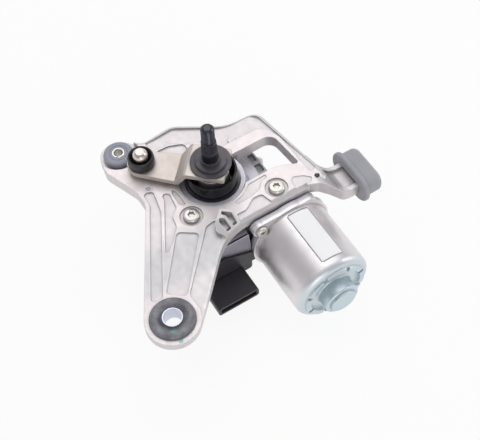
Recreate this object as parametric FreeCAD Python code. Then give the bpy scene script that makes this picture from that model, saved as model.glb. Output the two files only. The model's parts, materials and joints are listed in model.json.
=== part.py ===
import FreeCAD, Part
import math
import os

# Front wiper motor with its die-cast mounting bracket, crank arm and wiper spindle.
# All sizes are in millimetres. The origin is on the spindle axis at the seat of the
# wiper arm, +Z runs up the spindle and +X runs along the motor can to its closed end.
# Heights below are measured from the top rim of the bracket, and every piece is moved
# down by seat_height when it is written, which puts the arm seat at zero.

Vec = FreeCAD.Vector

# Spindle and collar
spindle_radius = 6.0
journal_radius = 6.4
spindle_chamfer = 0.8
spindle_plain_length = 8.0
spindle_taper_length = 11.0
spindle_taper_end_radius = 5.35
spindle_undercut_radius = 4.5
spindle_undercut_length = 1.4
spindle_thread_radius = 4.9
spindle_thread_length = 11.3
spindle_tip_length = 2.3
spindle_tip_radius = 2.6
spindle_bottom = -47.0
neck_radius = 7.25
neck_height = 2.5
hub_radius = 11.25
hub_height = 2.1
washer_radius = 14.9
washer_thickness = 1.4

# Crank arm with its ball stud
crank_angle = -133.0
crank_length = 52.0
crank_thickness = 4.0
crank_drop = 12.0
crank_root_length = 12.4
crank_root_half_width = 14.0
crank_bend_start = 17.0
crank_bend_end = 24.4
crank_bend_half_width = 12.3
crank_end_radius = 10.7
ball_radius = 5.8
ball_height = 7.7
ball_flat_radius = 3.0
ball_neck_radius = 3.6
ball_rivet_radius = 5.0
ball_rivet_height = 1.5
seal_ring_radius = 9.9
seal_ring_height = 8.0
seal_ring_wall = 2.6
seal_ring_floor = 1.6
seal_ring_round = 1.2
seal_ring_foot_edge = 0.8
crank_root_corner = 1.5
crank_waist_round = 6.0
crank_inner_bend = 1.5
crank_bend_shift = 1.6
ball_rivet_margin = 1.2

# Height of the wiper arm's seat over the bracket, from the pieces stacked under it
crank_clearance = 3.5
seat_height = (crank_clearance + crank_thickness + crank_drop + washer_thickness + hub_height
               + neck_height)

# Bracket plate, skirt and bore
plate_thickness = 4.0
pocket_depth = 1.2
skirt_depth = 10.5
skirt_wall = 3.0
bore_radius = 24.2
bore_relief_radius = 29.0
bore_rim_width = 2.0
boss_depth = 12.0
faint_pocket_depth = 0.6
arch_pocket_depth = 2.0
arch_bevel_middle = (0.0, 66.0)
arch_bevel_drop = 3.0
arch_bevel_width = 3.6
ejector_radius = 3.0
ejector_depth = 0.9
ejector_places = [(-22.7, 30.0), (32.4, 8.2)]

# Plans of the bracket's plate, window and pockets, as corners with their radii
large_eye_tangents = (241.6, 46.4)
small_eye_tangents = (127.0, 252.0)
arch_corners = [
    (42.8, -15.1, 45), (42.8, 60.0, 4), (44.6, 65.5, 4), (42.5, 72.0, 5), (-36.3, 60.2, 9),
    (-37.6, 33.5, 34), (-60.0, -1.0, 15), (-57.3, -27.0, 9),
]
leg_corners = [(-47.5, -62.6, 12), (-19.5, -51.8, 14), (-6.0, -51.8, 14)]
window_corners = [(-10.8, 8.0, 0), (-10.8, 57.0, 8), (22.8, 60.0, 1.6), (16.0, 44.0, 16), (16.0, 8.0, 0)]
leg_pockets = [
    [(-16.0, -49.2, 3), (-4.5, -49.2, 9), (66.5, -87.6, 3), (66.5, -78.4, 3), (5.0, -45.4, 14),
     (-14.0, -41.6, 3)],
    [(-13.0, -40.6, 2), (-4.0, -37.6, 8), (40.5, -61.5, 1.2), (31.0, -50.0, 10), (21.5, -42.0, 5),
     (13.0, -40.6, 4), (8.0, -34.4, 4), (-5.0, -32.8, 1.5)],
    [(-9.5, -28.8, 1), (-3.8, -31.2, 3), (7.0, -31.2, 3), (10.2, -27.4, 1), (0.0, -27.4, 8)],
    [(25.6, -44.4, 3), (34.8, -31.4, 3), (73.6, -63.2, 2.5), (64.8, -75.0, 3)],
    [(31.8, -15.6, 2), (32.6, -24.5, 7), (73.5, -61.6, 5), (88.5, -61.2, 1.5), (58.0, -32.0, 18),
     (49.4, -20.6, 3)],
]
near_pockets = [
    [(36.0, -1.6, 1), (36.2, 6.0, 2), (30.4, 15.5, 5), (30.8, 22.4, 2.4), (40.6, 25.2, 0.8),
     (41.4, 14.0, 8), (41.2, -2.0, 1)],
    [(-43.4, -22.0, 1), (-43.2, -13.0, 10), (-38.6, -1.8, 4), (-33.0, -1.8, 2), (-29.0, -8.0, 1),
     (-36.0, -22.0, 2)],
]
faint_pockets = [
    [(26.4, 2.9, 1), (24.6, 9.0, 6), (18.6, 18.0, 8), (17.9, 33.6, 0.6), (20.2, 33.4, 0.6),
     (21.8, 27.6, 6), (26.4, 23.8, 2), (28.6, 15.0, 6), (29.0, 3.2, 1)],
    [(32.2, 46.6, 3), (30.4, 49.0, 1.5), (33.4, 56.0, 6), (38.0, 60.6, 1), (41.4, 57.6, 2),
     (41.2, 45.6, 2)],
]
arch_pocket = [
    (-55.2, -26.0, 1.5), (-55.2, -18.0, 8), (-56.4, -2.0, 8), (-35.4, 31.5, 30), (-35.3, 57.0, 9),
    (32.6, 68.6, 2), (33.2, 62.0, 1.2), (-5.0, 60.9, 14), (-20.8, 55.4, 12), (-20.9, 20.0, 1),
    (-27.6, 14.6, 6), (-35.4, 6.0, 5), (-37.0, -0.6, 3), (-44.4, -10.0, 10), (-45.0, -26.0, 2),
]

# Eyes of the bracket
large_eye = (83.6, -80.3)
large_eye_radius = 19.3
large_eye_bore = 13.0
large_eye_depth = 6.5
large_eye_relief = 16.5
skirt_taper_start = 84.0
small_eye = (-58.0, -46.5)
small_eye_radius = 14.0
small_eye_bore = 7.2
small_eye_drop = 5.5
small_eye_thickness = 6.5
small_eye_margin = 1.4

# Bracket screws
bracket_screws = [(19.8, -29.0), (32.0, 34.3), (-24.0, -25.7)]
screw_radius = 3.0
screw_length = 24.0
screw_head_radius = 6.0
screw_head_height = 3.4
screw_socket_radius = 2.4
screw_socket_depth = 2.2
counterbore_radius = 8.4
screw_boss_radius = 8.6
screw_hole_clearance = 0.3
screw_dome = 0.8
screw_crown = 1.0

# Grommets and sleeves
large_grommet_radius = 16.0
large_grommet_crown = 15.5
large_grommet_flange = 0.8
large_grommet_proud = 3.2
large_grommet_round = 2.2
large_grommet_valley = 2.4
large_grommet_valley_width = 1.0
large_grommet_slope = 3.2
large_sleeve_radius = 7.0
large_sleeve_bore = 6.2
small_grommet_radius = 10.2
small_grommet_round = 0.8
small_grommet_top = -0.2
small_grommet_foot = 5.0
small_sleeve_radius = 4.7
small_sleeve_bore = 3.3
small_sleeve_slit = 1.4
small_sleeve_slit_angle = -62.0

# Tongue and its rubber cap
tongue_left = 34.0
tongue_right = 58.5
tongue_rail = 3.5
tongue_top = -8.0
tongue_bottom = -18.0
tongue_floor = -11.0
tongue_end = 97.0
tongue_corners = [
    (18.0, 62.0, 0), (42.0, 54.0, 0), (45.4, 62.5, 4), (50.6, 69.2, 8), (57.2, 75.0, 5),
    (tongue_right, 80.0, 6), (tongue_right, tongue_end, 2), (tongue_left, tongue_end, 2),
    (tongue_left, 83.0, 8), (33.4, 76.6, 5), (28.0, 71.4, 6), (18.0, 69.0, 0),
]
tongue_profile = [
    (53.0, 0.0, 0), (62.5, -0.2, 0), (66.0, -1.0, 5), (75.0, -7.2, 12), (80.0, tongue_top, 12),
    (tongue_end, tongue_top, 0.8), (tongue_end, tongue_bottom, 0.8), (75.0, tongue_bottom, 10),
    (65.0, -12.8, 10), (60.0, -10.5, 4), (53.0, -10.5, 0),
]
saddle_corners = [
    (40.6, 67.0, 2), (47.0, 69.4, 4), (53.6, 76.8, 5), (tongue_right - tongue_rail, 82.0, 5),
    (tongue_right - tongue_rail, tongue_end + 1, 0), (tongue_left + tongue_rail, tongue_end + 1, 0),
    (tongue_left + tongue_rail, 82.0, 5), (36.0, 76.4, 5), (31.6, 71.0, 3), (36.0, 67.6, 2),
]
saddle_profile = [
    (66.0, 1.0, 0), (66.0, -0.4, 0), (69.6, -1.6, 5), (75.4, -9.6, 4), (79.0, tongue_floor, 5),
    (tongue_end + 1, tongue_floor, 0), (tongue_end + 1, 1.0, 0),
]
cap_front = 87.7
cap_flange_width = 43.5
cap_flange_height = 24.5
cap_flange_thickness = 4.2
cap_flange_corner = 12.0
cap_flange_round = 1.6
cap_block_width = 38.0
cap_block_height = 18.2
cap_block_length = 13.3
cap_block_corner = 8.6
cap_block_round = 4.0
cap_centre_height = -12.5
datum_hole = (38.9, 64.5)
datum_hole_radius = 2.0
ring_hole = (-18.1, -42.5)
ring_hole_radius = 1.6
ring_hole_boss = 3.6
datum_hole_boss = 3.9

# Cast clip tower
clip_height = 6.0
clip_slot_floor = -2.4
clip_slope_start = 36.0
clip_slope_end = 50.0
clip_slope_foot = 0.6
clip_corners = [(28.2, -11.0, 1), (34.0, -4.2, 1.5), (45.0, -3.6, 1), (48.2, -17.6, 1.5), (42.4, -22.0, 1.5),
                (37.6, -20.0, 2)]
clip_slots = [
    [(31.2, -10.9, 0.6), (35.8, -5.6, 0.6), (44.0, -5.7, 1), (44.6, -9.2, 1), (36.3, -10.3, 1),
     (33.2, -12.4, 0.6)],
    [(35.4, -14.9, 0.6), (37.2, -12.2, 0.6), (45.2, -11.3, 1), (46.2, -15.2, 1), (37.6, -16.8, 0.8)],
]

# Gear housing
tower_top = -1.0
tower_top_radius = 23.7
tower_straight = 4.0
tower_foot_radius = 27.0
tower_foot = -14.0
tower_boss_radius = 12.5
tower_boss_top = 11.5
guard_radius = 20.2
guard_rim_radius = 18.2
guard_height = 11.2
guard_wall = 1.5
guard_floor = 1.6
guard_foot = 2.0
guard_lip = 0.6
guard_seat_clearance = 0.2
chamber_radius = 36.0
chamber_top = -16.0
chamber_bottom = -50.0
chamber_wall = 3.5
housing_boss_radius = 7.5
housing_neck_radius = 22.0
housing_ribs = [-26.0, -15.0, -4.0]
housing_rib_thickness = 2.4
housing_rib_root = 12.0
housing_foot = 4.0
housing_tab_height = 12.0
housing_neck_length = 14.0
gear_tip_clearance = 1.5
worm_tube_corner = 6.0
worm_pocket_depth = 3.0
worm_pocket_wall = 1.2
worm_pocket_offset = 4.2
cover_hole_depth = 9.0
spindle_boss_bottom = -30.0
bush_outer_radius = 8.5
upper_bush_top = 8.6
bush_length = 12.0
thrust_washer_thickness = 0.8
thrust_washer_margin = 1.0
lower_washer_thickness = 1.0
retaining_ring_width = 2.6
retaining_ring_thickness = 1.2
retaining_ring_gap = 4.0
collar_edge = 0.4
worm_tube_pockets = [(-19.5, -11.5), (-9.0, -1.0)]

# Worm drive
motor_axis_y = 35.5
motor_axis_z = -39.0
gear_teeth = 50
gear_pitch_radius = 30.0
gear_addendum = 1.0
gear_dedendum = 1.5
gear_width = 10.0
tooth_share = 0.42
pressure_angle = 20.0
gear_web_depth = 3.0
gear_rim_width = 5.0
gear_web_margin = 2.0
wheel_hub_radius = 12.0
wheel_hub_neck_margin = 1.5
sensor_magnet_thickness = 1.4
sensor_magnet_margin = 1.0
worm_root_overlap = 0.15
worm_length = 26.0
worm_tube_left = -24.0
worm_tube_right = 42.0
worm_tube_width = 21.0
worm_tube_top = -25.0
worm_bore_clearance = 1.0

# Motor can
can_radius = 30.2
can_wall = 2.0
can_flange_front = 47.0
can_flange_thickness = 2.5
can_flange_radius = 32.5
can_flange_top = -7.5
can_flange_left = 8.0
can_flange_right = 57.0
can_end = 106.0
can_edge_radius = 5.5
can_boss_radius = 13.5
can_boss_end = 116.0
can_tip_radius = 10.0
can_tip_end = 118.0
can_ring_inner = 20.0
can_ring_outer = 24.5
can_ring_height = 1.8
can_ring_notches = 8
can_screws = [(10.0, -13.6), (61.0, -64.4)]
can_screw_radius = 2.5
can_screw_head_radius = 4.5
can_screw_head_height = 3.0
can_screw_length = 9.0
can_ear_radius = 6.3
housing_flange_thickness = 3.0

# Rotor
shaft_radius = 4.0
shaft_left = -21.0
shaft_right = 112.5
core_radius = 21.3
core_left = 69.0
core_length = 25.0
core_slots = 10
slot_circle = 15.5
slot_radius = 3.2
end_turn_length = 5.0
commutator_radius = 10.0
commutator_left = 54.5
commutator_length = 9.0
magnet_gap = 1.0
magnet_arc = 130.0
bearing_radius = 11.0
bearing_left = 30.0
bearing_width = 7.0
bearing_balls = 7
bearing_circle = 7.5
ball_groove_radius = 1.9
rear_bush_radius = 8.0
brush_plate_thickness = 3.0
brush_box_wall = 1.6
brush_box_side = 1.4
brush_plate_clearance = 2.5
brush_spring_length = 4.4
brush_start = 1.0
brush_overlap = 1.0
brush_size = 6.0
brush_length = 8.0
spring_leaf = 0.5
spring_margin = 0.6

# Bottom cover with the connector socket
seal_thickness = 0.8
cover_depth = 9.2
cover_wall = 2.4
cover_lip = 1.5
cover_right = 47.5
cover_left_y = -36.0
cover_right_y = 4.0
socket_left = 40.0
socket_right = 70.0
socket_low_y = -40.0
socket_high_y = -6.0
socket_wall = 2.0
socket_depth = 18.0
socket_pins = 6
terminal_left = 41.0
terminal_right = 61.0
cover_screw_radius = 2.0
cover_screw_head_radius = 3.6
cover_screw_head_height = 2.4
cover_screw_length = 13.0
cover_tab_radius = 4.2
cover_tab_rise = 4.0
board_thickness = 1.6
board_posts = [(-20.0, -12.0), (20.0, -18.0), (-14.0, 20.0), (22.0, 16.0)]

running_fit = 0.05


def disc(radius, low, high, x=0.0, y=0.0):
    """Upright cylinder between two heights."""
    return Part.makeCylinder(radius, high - low, Vec(x, y, low))


def ring(outer, inner, low, high, x=0.0, y=0.0):
    """Upright tube between two heights."""
    return disc(outer, low, high, x, y).cut(disc(inner, low - 1, high + 1, x, y))


def rod(radius, start, end, y=motor_axis_y, z=motor_axis_z):
    """Cylinder along X, on the motor axis unless told otherwise."""
    return Part.makeCylinder(radius, end - start, Vec(start, y, z), Vec(1, 0, 0))


def tube(outer, inner, start, end):
    """Tube on the motor axis."""
    return rod(outer, start, end).cut(rod(inner, start - 1, end + 1))


def block(x0, x1, y0, y1, z0, z1):
    """Box between two corners."""
    return Part.makeBox(x1 - x0, y1 - y0, z1 - z0, Vec(x0, y0, z0))


def fused(shapes):
    """One solid from touching or overlapping solids."""
    shapes = list(shapes)
    return shapes[0].multiFuse(shapes[1:]).removeSplitter()


def without(shape, tools):
    """Shape with every tool cut away."""
    return shape.cut(Part.makeCompound(list(tools)))


def rounded_wire(corners, place):
    """Closed wire through (u, v, radius) corners; place maps (u, v) to a point."""
    count = len(corners)
    ends = []
    for i, (u, v, radius) in enumerate(corners):
        before = corners[i - 1]
        after = corners[(i + 1) % count]
        a = math.atan2(before[1] - v, before[0] - u)
        b = math.atan2(after[1] - v, after[0] - u)
        half = abs((b - a + math.pi) % (2 * math.pi) - math.pi) / 2
        reach = radius / math.tan(half) if radius > 0 else 0.0
        start = (u + reach * math.cos(a), v + reach * math.sin(a))
        end = (u + reach * math.cos(b), v + reach * math.sin(b))
        middle = None
        if radius > 0:
            bisector = math.atan2(math.sin(a) + math.sin(b), math.cos(a) + math.cos(b))
            shift = radius / math.sin(half) - radius
            middle = (u + shift * math.cos(bisector), v + shift * math.sin(bisector))
        ends.append((start, middle, end))
    edges = []
    for i, (start, middle, end) in enumerate(ends):
        if middle:
            edges.append(Part.Arc(place(*start), place(*middle), place(*end)).toShape())
        following = ends[(i + 1) % count][0]
        if math.dist(end, following) > 1e-6:
            edges.append(Part.makeLine(place(*end), place(*following)))
    return Part.Wire(edges)


def lathe(points, at=(0.0, 0.0)):
    """Closed profile of (radius, height[, fillet]) corners turned about an upright axis."""
    corners = [(*point, 0)[:3] for point in points]
    wire = rounded_wire(corners, lambda r, z: Vec(at[0] + r, at[1], z))
    return Part.Face(wire).revolve(Vec(at[0], at[1], 0), Vec(0, 0, 1), 360)


def lathe_x(points):
    """Closed profile of (x, radius[, fillet]) corners turned about the motor axis."""
    corners = [(*point, 0)[:3] for point in points]
    wire = rounded_wire(corners, lambda x, r: Vec(x, motor_axis_y + r, motor_axis_z))
    return Part.Face(wire).revolve(Vec(0, motor_axis_y, motor_axis_z), Vec(1, 0, 0), 360)


def flat_face(corners, height=0.0):
    """Level face with rounded corners."""
    return Part.Face(rounded_wire(corners, lambda u, v: Vec(u, v, height)))


def slab(corners, low, high):
    """Upright prism with rounded corners."""
    return flat_face(corners, low).extrude(Vec(0, 0, high - low))


def side_slab(corners, start, end):
    """Prism along X from (y, z, radius) corners."""
    face = Part.Face(rounded_wire(corners, lambda u, v: Vec(start, u, v)))
    return face.extrude(Vec(end - start, 0, 0))


def front_slab(corners, start, end):
    """Prism along Y from (x, z, radius) corners."""
    face = Part.Face(rounded_wire(corners, lambda u, v: Vec(u, start, v)))
    return face.extrude(Vec(0, end - start, 0))


def around(centre, radius, degrees):
    """Point on a circle in plan."""
    angle = math.radians(degrees)
    return centre[0] + radius * math.cos(angle), centre[1] + radius * math.sin(angle)


def rectangle(u0, u1, v0, v1, radius):
    """Corners of a rectangle with one corner radius."""
    return [(u0, v0, radius), (u1, v0, radius), (u1, v1, radius), (u0, v1, radius)]


def flat_edges(shape):
    """Edges round the two end faces of a prism along Y."""
    return [edge for edge in shape.Edges if edge.BoundBox.YLength < 0.01]


def save(name, shape):
    """Write one piece with the arm seat at the origin."""
    piece = shape.copy()
    piece.translate(Vec(0, 0, -seat_height))
    piece.exportStep("parts/" + name + ".step")


def plate_outline():
    """Plan of the bracket's plate and skirt, without the round eyes."""
    large = [(*around(large_eye, large_eye_radius, angle), 0) for angle in large_eye_tangents]
    small = [(*around(small_eye, small_eye_radius, angle), 0) for angle in small_eye_tangents]
    return large + arch_corners + small + leg_corners


def clip_tower():
    """Cast pad beside the bore with three ribs that slope down to the plate's edge."""
    tower = slab(clip_corners, -plate_thickness, clip_height)
    slope = front_slab([(clip_slope_start, clip_height, 0), (clip_slope_end, clip_slope_foot, 0),
                        (clip_slope_end, clip_height + 1, 0), (clip_slope_start, clip_height + 1, 0)],
                       clip_corners[-2][1] - 1, clip_corners[1][1] + 1)
    slots = [slab(corners, clip_slot_floor, clip_height + 1) for corners in clip_slots]
    return without(tower, [slope] + slots)


def tongue_body():
    """Dog-leg tongue before its valley is cut, from its plan and its side profile."""
    plan = slab(tongue_corners, tongue_bottom, 0)
    return plan.common(side_slab(tongue_profile, plan.BoundBox.XMin - 1, plan.BoundBox.XMax + 1))


def tongue():
    """Tongue that drops from the arch, with a valley between two raised edges."""
    valley = slab(saddle_corners, tongue_bottom, 1)
    valley = valley.common(side_slab(saddle_profile, valley.BoundBox.XMin - 1, valley.BoundBox.XMax + 1))
    return tongue_body().cut(valley)


def bevelled_plate():
    """Solid plate and skirt, with the arch's far edge bevelled down towards the tongue."""
    plate = slab(plate_outline(), -skirt_depth, 0)
    middle = Vec(*arch_bevel_middle, 0)
    edge = min((edge for edge in plate.Edges if edge.BoundBox.ZMin > -0.01),
               key=lambda edge: edge.CenterOfMass.distanceToPoint(middle))
    return plate.makeChamfer(arch_bevel_drop, arch_bevel_width, [edge])


def ejector_marks():
    """Low round marks that the casting die's ejector pins leave."""
    return [disc(ejector_radius, -plate_thickness + 1, -ejector_depth, x, y) for x, y in ejector_places]


def face_pockets():
    """Shallow pockets between the ribs on the bracket's face."""
    keep = [disc(screw_boss_radius + 1.0, -2 * arch_pocket_depth, 2, x, y) for x, y in bracket_screws]
    keep.append(disc(bore_radius + bore_rim_width, -2 * arch_pocket_depth, 2))
    keep.append(slab(clip_corners, -2 * arch_pocket_depth, 2))
    keep.append(disc(ring_hole_boss, -2 * arch_pocket_depth, 2, *ring_hole))
    keep.append(disc(datum_hole_boss, -2 * arch_pocket_depth, 2, *datum_hole))
    tools = []
    for depth, corners in [(pocket_depth, corners) for corners in leg_pockets + near_pockets] + [
            (faint_pocket_depth, corners) for corners in faint_pockets] + [(arch_pocket_depth, arch_pocket)]:
        tools.append(without(slab(corners, -depth, 1), keep))
    return tools


def leg_taper():
    """Cut that lets the skirt run out from its full depth to that of the large eye."""
    reach = math.hypot(*large_eye)
    far = reach + large_eye_radius + 1
    cut = front_slab([(skirt_taper_start, -skirt_depth, 0), (reach, -large_eye_depth, 0),
                      (far, -large_eye_depth, 0), (far, -skirt_depth - 1, 0),
                      (skirt_taper_start, -skirt_depth - 1, 0)],
                     -2 * large_eye_radius, 2 * large_eye_radius)
    cut.rotate(Vec(0, 0, 0), Vec(0, 0, 1), math.degrees(math.atan2(large_eye[1], large_eye[0])))
    return cut


def mounting_bracket():
    """Die-cast bracket: ribbed plate, skirt, open window, eyes, bosses and tongue."""
    outline = flat_face(plate_outline(), -skirt_depth)
    hollow = outline.makeOffset2D(-skirt_wall).extrude(Vec(0, 0, skirt_depth - plate_thickness))
    recess_radius = small_eye_radius + small_eye_margin
    eye_wall = disc(recess_radius + skirt_wall, -skirt_depth - 1, 1, *small_eye)
    body = bevelled_plate().cut(hollow.cut(eye_wall))
    window = flat_face(window_corners, -skirt_depth)
    window_wall = window.makeOffset2D(skirt_wall).extrude(Vec(0, 0, skirt_depth))
    hub = disc(bore_relief_radius + skirt_wall, -skirt_depth, 0)
    eyes = [
        disc(large_eye_radius, -large_eye_depth, 0, *large_eye),
        disc(small_eye_radius, -small_eye_drop - small_eye_thickness, 0, *small_eye),
    ]
    bosses = [disc(screw_boss_radius, -boss_depth, 0, x, y) for x, y in bracket_screws]
    body = fused([body, window_wall, hub, tongue()] + eyes + bosses)
    body = without(body, face_pockets())
    body = fused([body, clip_tower()] + ejector_marks())
    tools = [
        disc(bore_radius, -skirt_depth - 1, 1),
        disc(bore_relief_radius, -skirt_depth - 1, -plate_thickness),
        window.extrude(Vec(0, 0, skirt_depth + 1)),
        leg_taper(),
        disc(large_eye_relief, -skirt_depth - 1, -large_eye_depth, *large_eye),
        disc(large_eye_bore, -skirt_depth - 1, 1, *large_eye),
        disc(small_eye_bore, -boss_depth - 1, 1, *small_eye),
        disc(recess_radius, -small_eye_drop, 1, *small_eye),
        disc(datum_hole_radius, tongue_bottom - 1, 1, *datum_hole),
        disc(ring_hole_radius, -skirt_depth - 1, 1, *ring_hole),
    ]
    for x, y in bracket_screws:
        tools.append(disc(counterbore_radius, -pocket_depth, 1, x, y))
        tools.append(disc(screw_radius + screw_hole_clearance, -boss_depth - 1, 1, x, y))
    return without(body, tools)


def screw(x, y, top, head_radius, head_height, shank_radius, length):
    """Pan-head screw pointing down, with a round drive recess."""
    profile = [
        (0, top - length), (shank_radius, top - length), (shank_radius, top),
        (head_radius, top), (head_radius, top + head_height - screw_dome),
        (head_radius - screw_crown, top + head_height), (screw_socket_radius, top + head_height),
        (screw_socket_radius, top + head_height - screw_socket_depth),
        (0, top + head_height - screw_socket_depth),
    ]
    return lathe(profile, (x, y))


def bracket_screw_set():
    """The screws that hold the bracket on the gear housing."""
    return Part.makeCompound([
        screw(x, y, -pocket_depth, screw_head_radius, screw_head_height, screw_radius, screw_length)
        for x, y in bracket_screws
    ])


def large_grommet():
    """Rubber grommet with a rolled lip above and below the large eye."""
    waist = large_eye_bore - running_fit
    low = -large_eye_depth - large_grommet_proud
    inner = large_sleeve_radius
    valley = large_grommet_proud - large_grommet_valley
    foot = inner + large_grommet_valley_width
    return lathe([
        (inner, low), (large_grommet_crown, low, large_grommet_round),
        (large_grommet_crown, -large_eye_depth), (waist, -large_eye_depth), (waist, 0),
        (large_grommet_radius, 0), (large_grommet_radius, large_grommet_flange),
        (large_grommet_crown, large_grommet_flange),
        (large_grommet_crown, large_grommet_proud, large_grommet_round),
        (foot + large_grommet_slope, large_grommet_proud, large_grommet_round),
        (foot, valley), (inner, valley),
    ], large_eye)


def large_sleeve():
    """Flanged aluminium sleeve that the large fixing bolt passes through."""
    low = -large_eye_depth - large_grommet_proud
    return ring(large_sleeve_radius, large_sleeve_bore, low, large_grommet_proud, *large_eye)


def small_grommet():
    """Rubber grommet of the small eye, with a flat cap face."""
    waist = small_eye_bore - running_fit
    seat = -small_eye_drop
    under = seat - small_eye_thickness
    inner = small_sleeve_radius
    outer = small_grommet_radius
    return lathe([
        (inner, under - small_grommet_foot), (outer, under - small_grommet_foot, small_grommet_round),
        (outer, under), (waist, under), (waist, seat), (outer, seat),
        (outer, small_grommet_top, small_grommet_round), (inner, small_grommet_top),
    ], small_eye)


def split_sleeve():
    """Rolled spring-steel sleeve with a slit along one side."""
    low = -small_eye_drop - small_eye_thickness - small_grommet_foot
    sleeve = ring(small_sleeve_radius, small_sleeve_bore, low, small_grommet_top, *small_eye)
    slit = block(0, small_sleeve_radius + 1, -small_sleeve_slit / 2, small_sleeve_slit / 2, low - 1, 1)
    slit.rotate(Vec(0, 0, 0), Vec(0, 0, 1), small_sleeve_slit_angle)
    slit.translate(Vec(small_eye[0], small_eye[1], 0))
    return sleeve.cut(slit)


def tongue_cap():
    """Rubber buffer pushed over the tongue."""
    centre = (tongue_left + tongue_right) / 2
    half = cap_flange_width / 2
    tall = cap_flange_height / 2
    flange = front_slab(rectangle(centre - half, centre + half, cap_centre_height - tall,
                                  cap_centre_height + tall, cap_flange_corner),
                        cap_front, cap_front + cap_flange_thickness)
    flange = flange.makeFillet(cap_flange_round, flat_edges(flange))
    back = cap_front + cap_flange_thickness
    half = cap_block_width / 2
    tall = cap_block_height / 2
    buffer = front_slab(rectangle(centre - half, centre + half, cap_centre_height - tall,
                                  cap_centre_height + tall, cap_block_corner),
                        back - 1, back + cap_block_length)
    far = [edge for edge in flat_edges(buffer) if edge.BoundBox.YMin > back]
    buffer = buffer.makeFillet(cap_block_round, far)
    return fused([flange, buffer]).cut(tongue_body())


def spindle_shaft():
    """Wiper spindle: bearing shaft, plain seat, taper, undercut, thread and domed tip."""
    seat = seat_height + spindle_plain_length
    taper = seat + spindle_taper_length
    undercut = taper + spindle_undercut_length
    thread = undercut + spindle_thread_length
    tip = thread + spindle_tip_length
    return lathe([
        (0, spindle_bottom), (journal_radius - spindle_chamfer, spindle_bottom),
        (journal_radius, spindle_bottom + spindle_chamfer), (journal_radius, seat_height),
        (spindle_radius, seat_height), (spindle_radius, seat),
        (spindle_taper_end_radius, taper), (spindle_undercut_radius, taper),
        (spindle_undercut_radius, undercut), (spindle_thread_radius, undercut + 0.4),
        (spindle_thread_radius, thread), (spindle_tip_radius + 1.2, thread + 1.2),
        (spindle_tip_radius, tip), (0, tip),
    ])


def collar_bottom():
    """Height of the collar's lower face, where it presses on the crank."""
    return seat_height - neck_height - hub_height - washer_thickness


def spindle_collar():
    """Stepped collar pressed on the spindle over the crank."""
    low = collar_bottom()
    return lathe([
        (journal_radius, low), (washer_radius - collar_edge, low), (washer_radius, low + collar_edge),
        (washer_radius, low + washer_thickness), (hub_radius, low + washer_thickness),
        (hub_radius, seat_height - neck_height - collar_edge),
        (hub_radius - collar_edge, seat_height - neck_height),
        (neck_radius, seat_height - neck_height), (neck_radius, seat_height),
        (journal_radius, seat_height),
    ])


def crank_lower_top():
    """Height of the crank's lower face where the ball stud is riveted."""
    return collar_bottom() - crank_drop


def turned(shape):
    """Turn a piece drawn along +X to the crank's rest direction."""
    shape.rotate(Vec(0, 0, 0), Vec(0, 0, 1), crank_angle)
    return shape


def crank_arm():
    """Joggled steel crank, cut from a plan outline and a bent side profile."""
    top = collar_bottom()
    low = crank_lower_top()
    plan = slab([
        (-crank_root_length, -crank_root_half_width, crank_root_corner),
        (crank_bend_start, -crank_root_half_width, crank_waist_round),
        (crank_bend_end, -crank_bend_half_width, crank_waist_round),
        (crank_length, -crank_end_radius, 0), (crank_length, crank_end_radius, 0),
        (crank_bend_end, crank_bend_half_width, crank_waist_round),
        (crank_bend_start, crank_root_half_width, crank_waist_round),
        (-crank_root_length, crank_root_half_width, crank_root_corner),
    ], low - crank_thickness - 1, top + 1)
    plan = fused([plan, disc(crank_end_radius, low - crank_thickness - 1, top + 1, crank_length)])
    far = crank_length + crank_end_radius + 1
    near = -crank_root_length - 1
    outer_bend = crank_inner_bend + crank_thickness - crank_bend_shift
    side = front_slab([
        (near, top, 0), (crank_bend_start, top, outer_bend), (crank_bend_end, low, crank_inner_bend),
        (far, low, 0), (far, low - crank_thickness, 0),
        (crank_bend_end - crank_bend_shift, low - crank_thickness, outer_bend),
        (crank_bend_start - crank_bend_shift, top - crank_thickness, crank_inner_bend),
        (near, top - crank_thickness, 0),
    ], -crank_root_half_width - 1, crank_root_half_width + 1)
    return turned(without(plan.common(side), [
        disc(journal_radius, low, top + 1),
        disc(ball_rivet_radius, low - crank_thickness - 1, top + 1, crank_length),
    ]))


def ball_stud():
    """Ball stud riveted through the crank's free end."""
    base = crank_lower_top()
    ball = Part.makeSphere(ball_radius, Vec(crank_length, 0, base + ball_height))
    flat = math.sqrt(ball_radius ** 2 - ball_flat_radius ** 2)
    ball = ball.cut(disc(ball_radius + 1, base + ball_height + flat, base + ball_height + ball_radius + 1,
                         crank_length))
    neck = disc(ball_neck_radius, base - crank_thickness, base + ball_height, crank_length)
    rivet = disc(ball_rivet_radius, base - crank_thickness, base, crank_length)
    head = disc(ball_rivet_radius + ball_rivet_margin, base - crank_thickness - ball_rivet_height,
                base - crank_thickness, crank_length)
    return turned(fused([ball, neck, rivet, head]))


def ball_seal_ring():
    """Rubber ring round the foot of the ball."""
    base = crank_lower_top()
    outer = seal_ring_radius
    inner = seal_ring_radius - seal_ring_wall
    top = base + seal_ring_height
    return turned(lathe([
        (ball_neck_radius + running_fit, base), (outer, base, seal_ring_foot_edge),
        (outer, top, seal_ring_round), (inner, top), (inner, base + seal_ring_floor),
        (ball_neck_radius + running_fit, base + seal_ring_floor),
    ], (crank_length, 0)))


def guard_ring():
    """Glossy plastic shield ring round the spindle boss."""
    foot = tower_top - guard_foot
    return lathe([
        (tower_boss_radius + running_fit, foot), (guard_radius, foot), (guard_radius, 0.0),
        (guard_rim_radius, guard_height, guard_lip), (guard_rim_radius - guard_wall, guard_height),
        (guard_radius - guard_wall, foot + guard_floor),
        (tower_boss_radius + running_fit, foot + guard_floor),
    ])


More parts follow.
